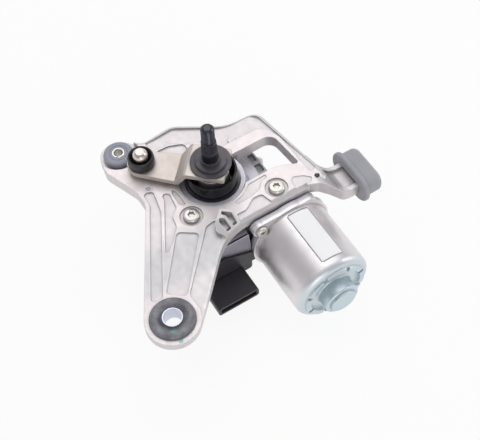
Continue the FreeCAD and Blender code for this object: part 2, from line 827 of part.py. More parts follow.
def motor_flange(start, end, grow=0.0):
    """Outline shared by the housing flange and the can flange, with two screw ears."""
    middle = (can_flange_left + can_flange_right) / 2
    half = (can_flange_right - can_flange_left) / 2
    shapes = [
        rod(can_flange_radius + grow, start, end),
        side_slab(rectangle(middle - half, middle + half, motor_axis_z, can_flange_top + grow, 5.0),
                  start, end),
    ]
    for y, z in can_screws:
        shapes.append(rod(can_ear_radius + grow, start, end, y, z))
    return fused(shapes)


def cover_outline_solid(low, high, inset=0.0):
    """Plan shape shared by the bottom cover, its seal and the housing foot."""
    radius = chamber_radius + cover_lip - inset
    return fused([
        disc(radius, low, high),
        slab(rectangle(worm_tube_left - 1.0 + inset, worm_tube_right + 1.0 - inset, 0,
                       motor_axis_y + worm_tube_width / 2 + 1.5 - inset, 5.0), low, high),
        slab(rectangle(0, cover_right - inset, cover_left_y + inset, cover_right_y - inset, 4.0),
             low, high),
    ])


def cover_screw_places():
    """Screw places round the rim of the bottom cover."""
    reach = chamber_radius + 3.2
    return [around((0, 0), reach, degrees) for degrees in (150, 195, 240, 285)] + [
        (worm_tube_left + 5.0, motor_axis_y + worm_tube_width / 2 + 3.0),
        (worm_tube_right - 6.0, motor_axis_y + worm_tube_width / 2 + 3.0),
    ]


def gear_housing():
    """Cast housing: spindle tower, wheel chamber, worm tube, motor flange and foot."""
    half = worm_tube_width / 2
    roof = chamber_top - chamber_wall
    tower = lathe([
        (0, chamber_top - 1), (tower_foot_radius + 1.0, chamber_top - 1),
        (tower_foot_radius, tower_foot), (tower_top_radius, tower_top - tower_straight),
        (tower_top_radius, tower_top), (guard_radius + guard_seat_clearance, tower_top),
        (guard_radius + guard_seat_clearance, tower_top - guard_foot), (0, tower_top - guard_foot),
    ])
    shapes = [
        disc(chamber_radius, chamber_bottom, chamber_top),
        tower,
        disc(tower_boss_radius, spindle_boss_bottom, tower_boss_top),
        slab(rectangle(worm_tube_left, worm_tube_right, motor_axis_y - half, motor_axis_y + half,
                       worm_tube_corner), chamber_bottom, worm_tube_top),
        rod(housing_neck_radius, worm_tube_right - housing_neck_length,
            can_flange_front - housing_flange_thickness),
        motor_flange(can_flange_front - housing_flange_thickness, can_flange_front),
        cover_outline_solid(chamber_bottom, chamber_bottom + housing_foot),
    ]
    for x, y in bracket_screws:
        shapes.append(disc(housing_boss_radius, worm_tube_top - 1, -boss_depth, x, y))
    for x, y in cover_screw_places():
        shapes.append(disc(cover_tab_radius, chamber_bottom, chamber_bottom + housing_tab_height, x, y))
    root = chamber_radius - housing_rib_root
    for y in housing_ribs:
        rib = Part.Face(Part.makePolygon([
            Vec(root, y, chamber_bottom + 2), Vec(cover_right - 1.5, y, chamber_bottom + 2),
            Vec(cover_right - 5.0, y, chamber_top - 10), Vec(root, y, chamber_top - 2),
            Vec(root, y, chamber_bottom + 2),
        ])).extrude(Vec(0, housing_rib_thickness, 0))
        shapes.append(rib)
    body = fused(shapes)
    gap = gear_pitch_radius + gear_addendum + gear_tip_clearance
    tip = worm_pitch_radius() + gear_addendum + worm_bore_clearance
    lower = block(worm_tube_right - 20, can_flange_front - housing_flange_thickness, 5.0, 75.0,
                  motor_axis_z - 40, chamber_bottom)
    tools = [
        disc(gap, chamber_bottom - 1, roof).cut(disc(tower_boss_radius, spindle_boss_bottom, roof + 1)),
        disc(bush_outer_radius, spindle_boss_bottom - 1, tower_boss_top + 1),
        rod(tip, worm_tube_left + 3.0, bearing_left + 1),
        rod(bearing_radius, bearing_left, can_flange_front + 1),
        lower,
        slab(rectangle(6.0, cover_right - 3.0, cover_left_y + 3.0, cover_right_y - 3.0, 3.0),
             chamber_bottom - 1, chamber_bottom + 1.5),
    ]
    for low_x, high_x in worm_tube_pockets:
        tools.append(slab(rectangle(low_x, high_x, motor_axis_y + worm_pocket_offset,
                                    motor_axis_y + half - worm_pocket_wall, 1.2),
                          worm_tube_top - worm_pocket_depth, worm_tube_top + 1))
    for x, y in bracket_screws:
        tools.append(disc(screw_radius, -pocket_depth - screw_length, -boss_depth + 1, x, y))
    for y, z in can_screws:
        start = can_flange_front - housing_flange_thickness - 1
        tools.append(rod(can_screw_radius, start, can_flange_front + 1, y, z))
    for x, y in cover_screw_places():
        tools.append(disc(cover_screw_radius, chamber_bottom - 1, chamber_bottom + cover_hole_depth,
                          x, y))
    return without(body, tools)


def spindle_bush(low, high):
    """Sintered bush pressed in the spindle boss."""
    return ring(bush_outer_radius, journal_radius + running_fit, low, high)


def shaft_seal():
    """O-ring in the top of the spindle boss."""
    section = (bush_outer_radius - journal_radius) / 2 - running_fit
    centre = (bush_outer_radius + journal_radius) / 2
    return Part.makeTorus(centre, section, Vec(0, 0, upper_bush_top + section))


def thrust_washer(low, thickness):
    """Flat washer round the spindle."""
    return ring(tower_boss_radius - thrust_washer_margin, journal_radius, low, low + thickness)


def retaining_ring():
    """Spring clip that holds the spindle in its bushes."""
    low = tower_boss_top + thrust_washer_thickness
    high = low + retaining_ring_thickness
    outer = journal_radius + retaining_ring_width
    half_gap = retaining_ring_gap / 2
    clip = ring(outer, journal_radius, low, high)
    return clip.cut(block(0, outer + 1, -half_gap, half_gap, low - 1, high + 1))


def worm_pitch_radius():
    """The worm reaches from its own axis to the pitch circle of the wheel."""
    return motor_axis_y - gear_pitch_radius


def gear_pitch():
    """Distance from tooth to tooth, which is also the lead of the worm."""
    return 2 * math.pi * gear_pitch_radius / gear_teeth


def gear_outline(turn, height):
    """Tooth outline of the worm wheel, turned by an angle in radians."""
    half = tooth_share * gear_pitch() / 2
    slope = math.tan(math.radians(pressure_angle))
    points = []
    for i in range(gear_teeth):
        centre = math.pi / 2 + (i + 0.5) * 2 * math.pi / gear_teeth + turn
        for side, rise in ((-1, -gear_dedendum), (-1, gear_addendum),
                           (1, gear_addendum), (1, -gear_dedendum)):
            radius = gear_pitch_radius + rise
            angle = centre + side * (half - slope * rise) / radius
            points.append(Vec(radius * math.cos(angle), radius * math.sin(angle), height))
    return Part.makePolygon(points + points[:1])


def worm_wheel():
    """Moulded wheel with teeth that lean by the worm's lead angle."""
    lead = gear_pitch() / (2 * math.pi * worm_pitch_radius())
    turn = lead * gear_width / 2 / gear_pitch_radius
    low = motor_axis_z - gear_width / 2
    high = motor_axis_z + gear_width / 2
    rim = Part.makeLoft([gear_outline(-turn, low), gear_outline(turn, high)], True, True)
    web = []
    for side in (low - 1, high - gear_web_depth):
        web.append(ring(gear_pitch_radius - gear_rim_width, wheel_hub_radius + gear_web_margin,
                        side, side + gear_web_depth + 1))
    return without(rim, web + [disc(wheel_hub_radius, low - 1, high + 1)])


def wheel_hub():
    """Steel hub that carries the worm wheel on the spindle."""
    low = motor_axis_z - gear_width / 2
    high = spindle_boss_bottom - lower_washer_thickness - 2 * running_fit
    return fused([
        disc(wheel_hub_radius, low, motor_axis_z + gear_width / 2),
        disc(tower_boss_radius - wheel_hub_neck_margin, low, high),
    ]).cut(disc(journal_radius, low - 1, high + 1))


def sensor_magnet():
    """Disc magnet on the spindle's foot for the position sensor."""
    return disc(journal_radius - sensor_magnet_margin, spindle_bottom - sensor_magnet_thickness,
                spindle_bottom)


def armature_shaft():
    """Rotor shaft with the single-start worm rolled on it."""
    lead = gear_pitch()
    length = worm_length
    turns_length = length - lead
    slope = math.tan(math.radians(pressure_angle))
    half = tooth_share * lead / 2
    root = shaft_radius - worm_root_overlap
    tip = worm_pitch_radius() + gear_addendum
    root_half = half + slope * (worm_pitch_radius() - root)
    tip_half = half - slope * gear_addendum
    helix = Part.makeHelix(lead, turns_length, worm_pitch_radius())
    profile = Part.makePolygon([
        Vec(root, 0, -root_half), Vec(tip, 0, -tip_half), Vec(tip, 0, tip_half),
        Vec(root, 0, root_half), Vec(root, 0, -root_half),
    ])
    thread = Part.Wire(helix.Edges).makePipeShell([profile], True, True)
    core = disc(shaft_radius, shaft_left, shaft_right)
    phase = math.floor(turns_length / lead / 2) + 0.5
    thread.translate(Vec(0, 0, -phase * lead))
    shaft = core.fuse(thread)
    shaft.rotate(Vec(0, 0, 0), Vec(0, 1, 0), 90)
    shaft.rotate(Vec(0, 0, 0), Vec(1, 0, 0), 90)
    shaft.translate(Vec(0, motor_axis_y, motor_axis_z))
    return shaft


def armature_core():
    """Laminated stack with winding slots."""
    right = core_left + core_length
    stack = tube(core_radius, shaft_radius, core_left, right)
    slots = []
    for i in range(core_slots):
        slot = fused([
            rod(slot_radius, core_left - 1, right + 1, motor_axis_y + slot_circle),
            block(core_left - 1, right + 1, motor_axis_y + slot_circle, motor_axis_y + core_radius + 1,
                  motor_axis_z - 0.8, motor_axis_z + 0.8),
        ])
        slot.rotate(Vec(0, motor_axis_y, motor_axis_z), Vec(1, 0, 0), 360.0 * i / core_slots)
        slots.append(slot)
    return without(stack, slots)


def windings():
    """Copper coils: bundles in the slots and the end turns at both faces."""
    right = core_left + core_length
    shapes = []
    for face, sign in ((core_left, -1), (right, 1)):
        near = face + sign * 0.2
        far = face + sign * end_turn_length
        shapes.append(lathe_x([
            (near, 7.0), (far, 7.0, 1.5), (far, slot_circle + 1.0, 2.0), (near, slot_circle + slot_radius),
        ]))
    for i in range(core_slots):
        bundle = rod(slot_radius - 0.1, core_left - 1, right + 1, motor_axis_y + slot_circle)
        bundle.rotate(Vec(0, motor_axis_y, motor_axis_z), Vec(1, 0, 0), 360.0 * i / core_slots)
        shapes.append(bundle)
    return fused(shapes)


def commutator():
    """Copper commutator with a slit between its bars."""
    right = commutator_left + commutator_length
    body = tube(commutator_radius, shaft_radius, commutator_left, right)
    slits = []
    for i in range(core_slots):
        slit = block(commutator_left - 1, right + 1, motor_axis_y + commutator_radius - 1.4,
                     motor_axis_y + commutator_radius + 1, motor_axis_z - 0.3, motor_axis_z + 0.3)
        slit.rotate(Vec(0, motor_axis_y, motor_axis_z), Vec(1, 0, 0), 360.0 * (i + 0.5) / core_slots)
        slits.append(slit)
    return without(body, slits)


def bearing_race(outer, inner):
    """Ball-bearing ring with a groove left by the balls."""
    middle = bearing_left + bearing_width / 2
    groove = Part.makeTorus(bearing_circle, ball_groove_radius, Vec(middle, motor_axis_y, motor_axis_z),
                            Vec(1, 0, 0))
    return tube(outer, inner, bearing_left, bearing_left + bearing_width).cut(groove)


def bearing_ball_set():
    """Balls of the front bearing, held at even spacing."""
    middle = bearing_left + bearing_width / 2
    balls = []
    for i in range(bearing_balls):
        y, z = around((motor_axis_y, motor_axis_z), bearing_circle, 360.0 * i / bearing_balls)
        balls.append(Part.makeSphere(ball_groove_radius - 0.05, Vec(middle, y, z)))
    return Part.makeCompound(balls)


def rear_bush():
    """Sintered bush in the nose of the can."""
    return tube(rear_bush_radius, shaft_radius + running_fit, can_end - 1.0, can_end + 6.0)


def motor_can():
    """Deep-drawn can with its flange, stepped end and bearing nose."""
    inner = can_radius - can_wall
    inside_end = can_end - 3.0
    barrel = lathe_x([
        (can_flange_front, inner), (can_flange_front, can_radius), (can_end, can_radius, can_edge_radius),
        (can_end, can_ring_outer + 0.5), (can_end + can_ring_height, can_ring_outer, 0.5),
        (can_end + can_ring_height, can_ring_inner + 0.8, 0.5), (can_end - 1.0, can_ring_inner, 0.6),
        (can_end - 1.0, can_boss_radius, 1.2), (can_boss_end, can_boss_radius, 1.2),
        (can_boss_end, can_tip_radius + 0.3), (can_tip_end, can_tip_radius, 0.7), (can_tip_end, 0),
        (can_boss_end - 2.0, 0), (can_boss_end - 2.0, rear_bush_radius), (can_end - 1.0, rear_bush_radius),
        (can_end - 1.0, can_boss_radius - can_wall), (inside_end, can_boss_radius - can_wall),
        (inside_end, inner, 3.5),
    ])
    flange = motor_flange(can_flange_front, can_flange_front + can_flange_thickness)
    flange = flange.cut(rod(can_radius - 0.5, can_flange_front - 1, can_flange_front + 10))
    body = fused([barrel, flange])
    tools = []
    for i in range(can_ring_notches):
        angle = 360.0 * (i + 0.5) / can_ring_notches
        notch = block(can_end + 0.3, can_end + can_ring_height + 1, motor_axis_y + can_ring_inner - 1,
                      motor_axis_y + can_ring_outer + 2, motor_axis_z - 1.6, motor_axis_z + 1.6)
        notch.rotate(Vec(0, motor_axis_y, motor_axis_z), Vec(1, 0, 0), angle)
        tools.append(notch)
    for y, z in can_screws:
        tools.append(rod(can_screw_radius + 0.2, can_flange_front - 1, can_flange_front + 5, y, z))
    return without(body, tools)


def can_screw_set():
    """The two screws that pull the can flange on the housing."""
    screws = []
    for y, z in can_screws:
        piece = screw(0, 0, 0, can_screw_head_radius, can_screw_head_height, can_screw_radius,
                      can_screw_length)
        piece.rotate(Vec(0, 0, 0), Vec(0, 1, 0), 90)
        piece.translate(Vec(can_flange_front + can_flange_thickness, y, z))
        screws.append(piece)
    return Part.makeCompound(screws)


def magnet_pair():
    """Two curved field magnets inside the can."""
    outer = can_radius - can_wall
    inner = core_radius + magnet_gap
    centre = Vec(0, motor_axis_y, motor_axis_z)
    pieces = []
    for start in (90 - magnet_arc / 2, 270 - magnet_arc / 2):
        face = Part.Face(rounded_wire([
            (core_left - 3.0, inner, 0), (core_left + core_length + 3.0, inner, 0),
            (core_left + core_length + 3.0, outer, 0), (core_left - 3.0, outer, 0),
        ], lambda u, v: Vec(u, motor_axis_y + v, motor_axis_z)))
        piece = face.revolve(centre, Vec(1, 0, 0), magnet_arc)
        piece.rotate(centre, Vec(1, 0, 0), start)
        pieces.append(piece)
    return Part.makeCompound(pieces)


def magnet_clips():
    """Spring clips that spread the magnets against the can."""
    outer = can_radius - can_wall
    centre = Vec(0, motor_axis_y, motor_axis_z)
    free = 180.0 - magnet_arc
    pieces = []
    for start in (-free / 2, 180 - free / 2):
        parts = []
        for inner, turn, arc in ((outer - 0.7, 0.0, free), (core_radius + 2.0, 0.0, 1.6),
                                 (core_radius + 2.0, free - 1.6, 1.6)):
            face = Part.Face(rounded_wire([
                (core_left - 2.0, inner, 0), (core_left + core_length + 2.0, inner, 0),
                (core_left + core_length + 2.0, outer, 0), (core_left - 2.0, outer, 0),
            ], lambda u, v: Vec(u, motor_axis_y + v, motor_axis_z)))
            part = face.revolve(centre, Vec(1, 0, 0), arc)
            part.rotate(centre, Vec(1, 0, 0), start + turn)
            parts.append(part)
        pieces.append(fused(parts))
    return Part.makeCompound(pieces)


def brush_box_reach():
    """Distance from the motor axis to the outer end of a brush box."""
    return commutator_radius + brush_length + brush_spring_length + brush_box_wall


def brush_plate():
    """Plastic plate across the can's mouth with two brush boxes."""
    back = can_flange_front + brush_plate_thickness
    bore = commutator_radius + brush_plate_clearance
    plate = tube(can_radius - can_wall, bore, can_flange_front, back)
    low = commutator_left + brush_start
    half = brush_size / 2 + brush_box_side
    boxes = []
    holes = []
    for side in (-1, 1):
        near = motor_axis_y + side * bore
        far = motor_axis_y + side * brush_box_reach()
        boxes.append(block(back, low + brush_size + brush_box_wall, min(near, far), max(near, far),
                           motor_axis_z - half, motor_axis_z + half))
        inner = motor_axis_y + side * (commutator_radius - brush_overlap)
        end = motor_axis_y + side * (brush_box_reach() - brush_box_wall)
        holes.append(block(low, low + brush_size, min(inner, end), max(inner, end),
                           motor_axis_z - brush_size / 2, motor_axis_z + brush_size / 2))
    return without(fused([plate] + boxes), holes)


def brush_pair():
    """Carbon brushes that run on the commutator."""
    low = commutator_left + brush_start + running_fit
    size = brush_size - 2 * running_fit
    track = rod(commutator_radius + running_fit, low - 1, low + brush_size + 1)
    pieces = []
    for side in (-1, 1):
        near = motor_axis_y + side * (commutator_radius - brush_overlap)
        far = motor_axis_y + side * (commutator_radius + brush_length)
        pieces.append(block(low, low + size, min(near, far), max(near, far),
                            motor_axis_z - size / 2, motor_axis_z + size / 2).cut(track))
    return Part.makeCompound(pieces)


def brush_springs():
    """Folded leaf springs behind the brushes."""
    low = commutator_left + brush_start + spring_margin
    start = commutator_radius + brush_length
    end = start + brush_spring_length
    folds = 4
    bend = brush_size / 2 - 2 * spring_margin
    leaves = []
    for i in range(folds):
        near, far = (start + (end - start - spring_leaf) * k / folds for k in (i, i + 1))
        rise = bend if i % 2 else -bend
        corners = [(near, rise), (near + spring_leaf, rise), (far + spring_leaf, -rise), (far, -rise)]
        points = [Vec(low, motor_axis_y + r, motor_axis_z + h) for r, h in corners + corners[:1]]
        leaves.append(Part.Face(Part.makePolygon(points)).extrude(Vec(brush_size - 2 * spring_margin, 0, 0)))
    spring = fused(leaves)
    opposite = spring.copy()
    opposite.rotate(Vec(0, motor_axis_y, motor_axis_z), Vec(1, 0, 0), 180)
    return Part.makeCompound([spring, opposite])


def cover_top():
    """Height of the cover's upper face under the seal."""
    return chamber_bottom - seal_thickness


def terminal_set():
    """Flat terminals that run from the circuit board into the socket."""
    level = board_bottom()
    spacing = (socket_high_y - socket_low_y - 2 * socket_wall) / (socket_pins + 0.5)
    first = (socket_low_y + socket_high_y) / 2 - spacing * (socket_pins - 1) / 2
    pins = []
    for i in range(socket_pins):
        y = first + spacing * i
        pins.append(fused([
            block(terminal_left, terminal_right, y - 0.8, y + 0.8, level - 1.4, level - 0.6),
            block(terminal_left, terminal_left + 0.8, y - 0.8, y + 0.8, level - 1.4, level),
        ]))
    return pins


def bottom_cover():
    """Black plastic cover with the flat connector socket on its side."""
    top = cover_top()
    low = top - cover_depth
    shell = cover_outline_solid(low, top)
    tabs = [disc(cover_tab_radius, low + cover_tab_rise, top, x, y) for x, y in cover_screw_places()]
    socket = side_slab(rectangle(socket_low_y, socket_high_y, low, top, 2.4),
                       socket_left, socket_right)
    body = fused([shell, socket] + tabs)
    cavity = cover_outline_solid(low + cover_wall, top + 1, cover_wall + cover_lip)
    mouth = side_slab(rectangle(socket_low_y + socket_wall, socket_high_y - socket_wall,
                                low + socket_wall, top - socket_wall, 1.0),
                      socket_right - socket_depth, socket_right + 1)
    holes = [disc(cover_screw_radius + 0.2, low - 1, top + 1, x, y) for x, y in cover_screw_places()]
    holes += [disc(cover_screw_head_radius + 0.3, low - 1, low + cover_tab_rise, x, y)
              for x, y in cover_screw_places()]
    posts = [disc(2.0, low + 1.0, board_bottom(), x, y) for x, y in board_posts]
    return fused([without(body, [cavity, mouth] + holes)] + posts).cut(
        Part.makeCompound(terminal_set()))


def cover_seal():
    """Flat gasket between the housing foot and the cover."""
    outer = cover_outline_solid(cover_top(), chamber_bottom, 0.4)
    inner = cover_outline_solid(cover_top() - 1, chamber_bottom + 1, cover_wall + cover_lip)
    holes = [disc(cover_screw_radius + 0.6, cover_top() - 1, chamber_bottom + 1, x, y)
             for x, y in cover_screw_places()]
    return without(outer, [inner] + holes)


def board_bottom():
    """Height of the circuit board's lower face."""
    return cover_top() - 4.0


def circuit_board():
    """Control board over the cover's posts."""
    low = board_bottom()
    return cover_outline_solid(low, low + board_thickness, cover_wall + cover_lip + 1.0)


def cover_screw_set():
    """Screws that hold the bottom cover on the housing."""
    screws = []
    for x, y in cover_screw_places():
        piece = screw(0, 0, 0, cover_screw_head_radius, cover_screw_head_height, cover_screw_radius,
                      cover_screw_length)
        piece.rotate(Vec(0, 0, 0), Vec(1, 0, 0), 180)
        piece.translate(Vec(x, y, cover_top() - cover_depth + cover_tab_rise))
        screws.append(piece)
    return Part.makeCompound(screws)


PIECES = {
    "mounting_bracket": mounting_bracket,
    "bracket_screws": bracket_screw_set,
    "large_grommet": large_grommet,
    "large_sleeve": large_sleeve,
    "small_grommet": small_grommet,
    "split_sleeve": split_sleeve,
    "tongue_cap": tongue_cap,
    "gear_housing": gear_housing,
    "guard_ring": guard_ring,
    "upper_bush": lambda: spindle_bush(upper_bush_top - bush_length, upper_bush_top),
    "lower_bush": lambda: spindle_bush(spindle_boss_bottom, spindle_boss_bottom + bush_length),
    "shaft_seal": shaft_seal,
    "spindle_shaft": spindle_shaft,
    "spindle_collar": spindle_collar,
    "retaining_ring": retaining_ring,
    "upper_washer": lambda: thrust_washer(tower_boss_top, thrust_washer_thickness),
    "lower_washer": lambda: thrust_washer(spindle_boss_bottom - running_fit - lower_washer_thickness,
                                          lower_washer_thickness),
    "crank_arm": crank_arm,
    "ball_stud": ball_stud,
    "ball_seal_ring": ball_seal_ring,
    "worm_wheel": worm_wheel,
    "wheel_hub": wheel_hub,
    "sensor_magnet": sensor_magnet,
    "armature_shaft": armature_shaft,
    "armature_core": armature_core,
    "windings": windings,
    "commutator": commutator,
    "bearing_inner_race": lambda: bearing_race(bearing_circle - 1.2, shaft_radius),
    "bearing_outer_race": lambda: bearing_race(bearing_radius, bearing_circle + 1.2),
    "bearing_balls": bearing_ball_set,
    "rear_bush": rear_bush,
    "motor_can": motor_can,
    "can_screws": can_screw_set,
    "field_magnets": magnet_pair,
    "magnet_clips": magnet_clips,
    "brush_plate": brush_plate,
    "brushes": brush_pair,
    "brush_springs": brush_springs,
    "bottom_cover": bottom_cover,
    "cover_seal": cover_seal,
    "cover_screws": cover_screw_set,
    "circuit_board": circuit_board,
    "connector_terminals": lambda: Part.makeCompound(terminal_set()),
}

os.makedirs("parts", exist_ok=True)
for node, make in PIECES.items():
    save(node, make())
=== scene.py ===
import json
import math

import bmesh
import bpy
from mathutils import Matrix, Vector


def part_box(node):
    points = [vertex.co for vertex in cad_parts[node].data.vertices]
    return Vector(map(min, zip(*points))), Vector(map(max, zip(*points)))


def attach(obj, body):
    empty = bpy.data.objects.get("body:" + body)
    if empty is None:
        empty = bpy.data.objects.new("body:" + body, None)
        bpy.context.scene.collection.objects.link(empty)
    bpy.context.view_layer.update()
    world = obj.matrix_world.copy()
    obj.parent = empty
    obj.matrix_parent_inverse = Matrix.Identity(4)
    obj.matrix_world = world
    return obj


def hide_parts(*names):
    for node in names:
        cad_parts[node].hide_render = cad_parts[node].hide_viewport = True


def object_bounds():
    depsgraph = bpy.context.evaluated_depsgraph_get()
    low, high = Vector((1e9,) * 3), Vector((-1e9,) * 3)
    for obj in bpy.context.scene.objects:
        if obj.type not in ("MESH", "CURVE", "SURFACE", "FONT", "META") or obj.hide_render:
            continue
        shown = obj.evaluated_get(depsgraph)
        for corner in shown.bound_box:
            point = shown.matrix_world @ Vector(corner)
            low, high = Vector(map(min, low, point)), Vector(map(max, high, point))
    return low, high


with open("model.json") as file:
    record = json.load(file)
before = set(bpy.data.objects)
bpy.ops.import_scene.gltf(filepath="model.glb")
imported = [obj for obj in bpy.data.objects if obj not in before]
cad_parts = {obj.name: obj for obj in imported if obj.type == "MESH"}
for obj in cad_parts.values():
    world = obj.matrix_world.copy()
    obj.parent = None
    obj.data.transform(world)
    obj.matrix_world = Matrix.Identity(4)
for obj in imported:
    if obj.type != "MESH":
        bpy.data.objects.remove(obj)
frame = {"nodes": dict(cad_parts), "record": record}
cad_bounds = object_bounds()
nodes = frame["nodes"]

# Metres in a millimetre, and millimetres in a metre
MM = 0.001
PER_METRE = 1000.0

# Places and sizes are in millimetres in the part's frame, except under a heading that says
# metres. Height 0 is the wiper arm's seat. RIM is the bracket's upper face, from which the heights
# in outlines and rows count, except where another start is named.
RIM = -25.5
POCKET_DEPTH = 1.2

# Motor can and its bare label
CAN_Y = 35.5
CAN_Z = RIM - 39.0
CAN_RADIUS = 30.2
CAN_END_X = (99.0, 107.0)
LABEL_X = (51.5, 97.5)
LABEL_ANGLES = (66.0, 101.0)
LABEL_LIFT = 0.04
LABEL_CORNER = 1.6
LABEL_COLUMNS = 40
LABEL_ROWS = 24

# Height over which a turned body steps from one radius to the next
LEDGE = 0.1
SEAT_LEDGE = 0.01

# Screws: (x, y) on the bracket and (y, z) on the can's flange, sizes, head and six-lobe recess,
# whose rows are (change of the mean radius, share of it that the lobes take)
BRACKET_SCREW_PLACES = [(19.8, -29.0), (32.0, 34.3), (-24.0, -25.7)]
BRACKET_SCREW = dict(head_radius=6.0, head_height=3.4, shank_radius=3.0, length=24.0,
                     recess=2.35, depth=1.9)
CAN_SCREW_PLACES = [(10.0, -13.6), (61.0, -64.4)]
CAN_SCREW = dict(head_radius=4.5, head_height=3.0, shank_radius=2.5, length=9.0,
                 recess=1.9, depth=1.6)
CAN_FACE = 49.5
POINT_LENGTH = 1.0
POINT_SHARE = 0.82
HEAD_FOOT_SHARE = 0.97
HEAD_FOOT_HEIGHT = 0.25
DOME_SHARE = 0.55
DOME_DROP = 0.30
DOME_SWEEP = 72.0
DOME_STEPS = 5
LOBES = 6
RECESS_MOUTH = (0.12, 0.14)
RECESS_WALL = (-0.05, 0.15)
RECESS_FLOOR = (-0.2, 0.14)
RECESS_CHAMFER = 0.3
RECESS_CENTRE_SHARE = 0.35

# Spindle
SPINDLE_BOTTOM = RIM - 47.0
JOURNAL_RADIUS = 6.4
JOURNAL_CHAMFER = 0.8
SEAT_RADIUS = 6.0
SEAT_LENGTH = 8.0
TAPER_LENGTH = 11.0
TAPER_END_RADIUS = 5.35
TAPER_END_CHAMFER = 0.3
KNURL_COUNT = 24
KNURL_DEPTH = 0.5
KNURL_MARGIN = 0.2
KNURL_STEPS = 12
KNURL_FADE = 6
SIDES_PER_TOOTH = 6
UNDERCUT_RADIUS = 4.5
UNDERCUT_LENGTH = 1.4
THREAD_RADIUS = 4.9
THREAD_LENGTH = 11.3
THREAD_PITCH = 1.5
THREAD_DEPTH = 0.55
THREAD_MARGIN = 0.05
THREAD_STEPS = 72
THREAD_FADE = 12
TIP_LENGTH = 2.3
TIP_EDGE = 0.4
TIP_FLAT_RADIUS = 1.2
TIP_SWEEP = 84.0
TIP_STEPS = 6

# Sides of the turned bodies, and the edge angle in degrees below which faces shade smoothly
FINE_SIDES = 96
RIM_SIDES = 48
FLOOR_SIDES = 32
SMOOTH_ANGLE = 35.0

# Housing between leg and can: (x, z) of the wall along Y, (y, z) of the cover's lip along X
SIDE_WALL = [(34.0, -49.0), (46.4, -49.0), (46.4, -38.0), (45.9, -30.0), (44.4, -20.3),
             (44.1, -19.7), (43.5, -19.7), (43.3, -21.8), (42.5, -21.8), (42.3, -20.0),
             (40.5, -18.9), (34.0, -18.3)]
SIDE_WALL_Y = (-34.0, 2.6)
COVER_LIP = [(-35.6, -50.0), (3.6, -50.0), (3.6, -39.0), (2.6, -38.2), (-19.5, -29.0),
             (-35.6, -29.0)]
COVER_LIP_X = (45.6, 48.0)

# Dark plates of painted shade on the floors of the window's two pockets
POCKET_SHADES_X = [(-19.4, -11.6), (-8.9, -1.1)]
POCKET_SHADES_Y = (39.8, 44.7)
SHADE_BOTTOM = -28.2
SHADE_TOP = -27.6
SHADE_STEP_TOP = -27.2
SHADE_CREST = -26.2
SHADE_SLOPE = 0.6

# Small hole at the leg's root: (height, radius) rows of its rim and of the dark disc of painted
# shade in it
SMALL_HOLE = (-17.2, -43.2)
HOLE_RIM = [(-0.6, 1.8), (-0.6, 3.1), (0.15, 3.1), (0.45, 2.8), (0.45, 2.1), (0.15, 1.8)]
HOLE_SHADE_DISC = [(-0.5, 1.9), (0.04, 1.9), (0.06, 1.7)]

# Small eye: (height, radius) rows of the grommet, (radius, height) section of the rolled sleeve
SMALL_EYE = (-58.0, -46.5)
SMALL_GROMMET = [
    (-17.0, 4.7), (-17.0, 9.4), (-16.2, 10.2), (-12.05, 10.2), (-12.05, 6.95), (-5.45, 6.95),
    (-5.45, 10.5), (-4.2, 11.3), (-2.8, 11.4), (-1.5, 11.0), (-0.7, 10.3), (-0.25, 9.5),
    (-0.2, 7.1), (-0.5, 6.8), (-0.5, 6.5), (-0.2, 6.2), (-0.2, 4.7),
]
SLEEVE_SECTION = [(3.3, -17.0), (4.68, -17.0), (4.68, -0.1), (4.45, 0.15), (3.55, 0.15),
                  (3.3, -0.1)]
SLIT_ANGLE = -36.0
SLIT_WIDTH = 18.0
SLEEVE_STEPS = 60

# Rubber cup round the ball: (height, radius) rows over the crank
SEAL_CUP = [(0.02, 3.75), (0.02, 9.0), (0.8, 9.75), (4.5, 9.85), (7.0, 9.4), (7.8, 8.9),
            (7.95, 8.5), (7.7, 8.15), (4.5, 6.5), (2.4, 4.7), (2.0, 3.75)]

# Green inspection paint: (x, y, z, radius)
BRACKET_DABS = [(100.6, -83.6, -26.2, 2.2)]
GROMMET_DABS = [(92.2, -84.6, -22.6, 2.2), (90.6, -83.2, -22.4, 1.4)]
EYE_DABS = [(-66.4, -52.6, -25.8, 1.5)]
DAB_WOBBLE = 1.6
DAB_EDGE = (1.5, 1.75)
DAB_COVER = 0.75

# Painted shade: a cooler, greyer tone on the castings' sunk floors, and on a band across the long
# leg
SUNK_Z = (RIM - 0.15, RIM - 0.7)
SUNK_SHADE_SHARE = 0.26
BAND_RISE_X = (20.0, 36.0)
BAND_FALL_X = (68.0, 57.0)
BAND_Y = (4.0, -16.0)
BAND_SHADE_SHARE = 0.62

# Tones of painted highlights on edges, of paint dabs and of painted shade in corners; shares of
# open rays between which an edge or a corner shows; and samples of each shading probe
EDGE_HIGHLIGHT = (0.86, 0.87, 0.87)
DAB_ON_METAL = (0.16, 0.50, 0.40)
DAB_ON_RUBBER = (0.14, 0.46, 0.36)
STEEL_CORNER_SHADE = (0.07, 0.07, 0.08)
PLASTIC_CORNER_SHADE = (0.008, 0.008, 0.010)
RIDGE_RANGE = (0.55, 0.98)
CREVICE_RANGE = (0.2, 0.95)
PROBE_SAMPLES = 6

# Camera, with its place in millimetres
CAMERA_PLACE = (384.9, -184.2, 600.0 + RIM)
CAMERA_RIGHT = (0.5231, 0.8513, -0.0412)
CAMERA_BACK = (0.4805, -0.2547, 0.8392)
LENS = 76.5
SENSOR_WIDTH = 36.0

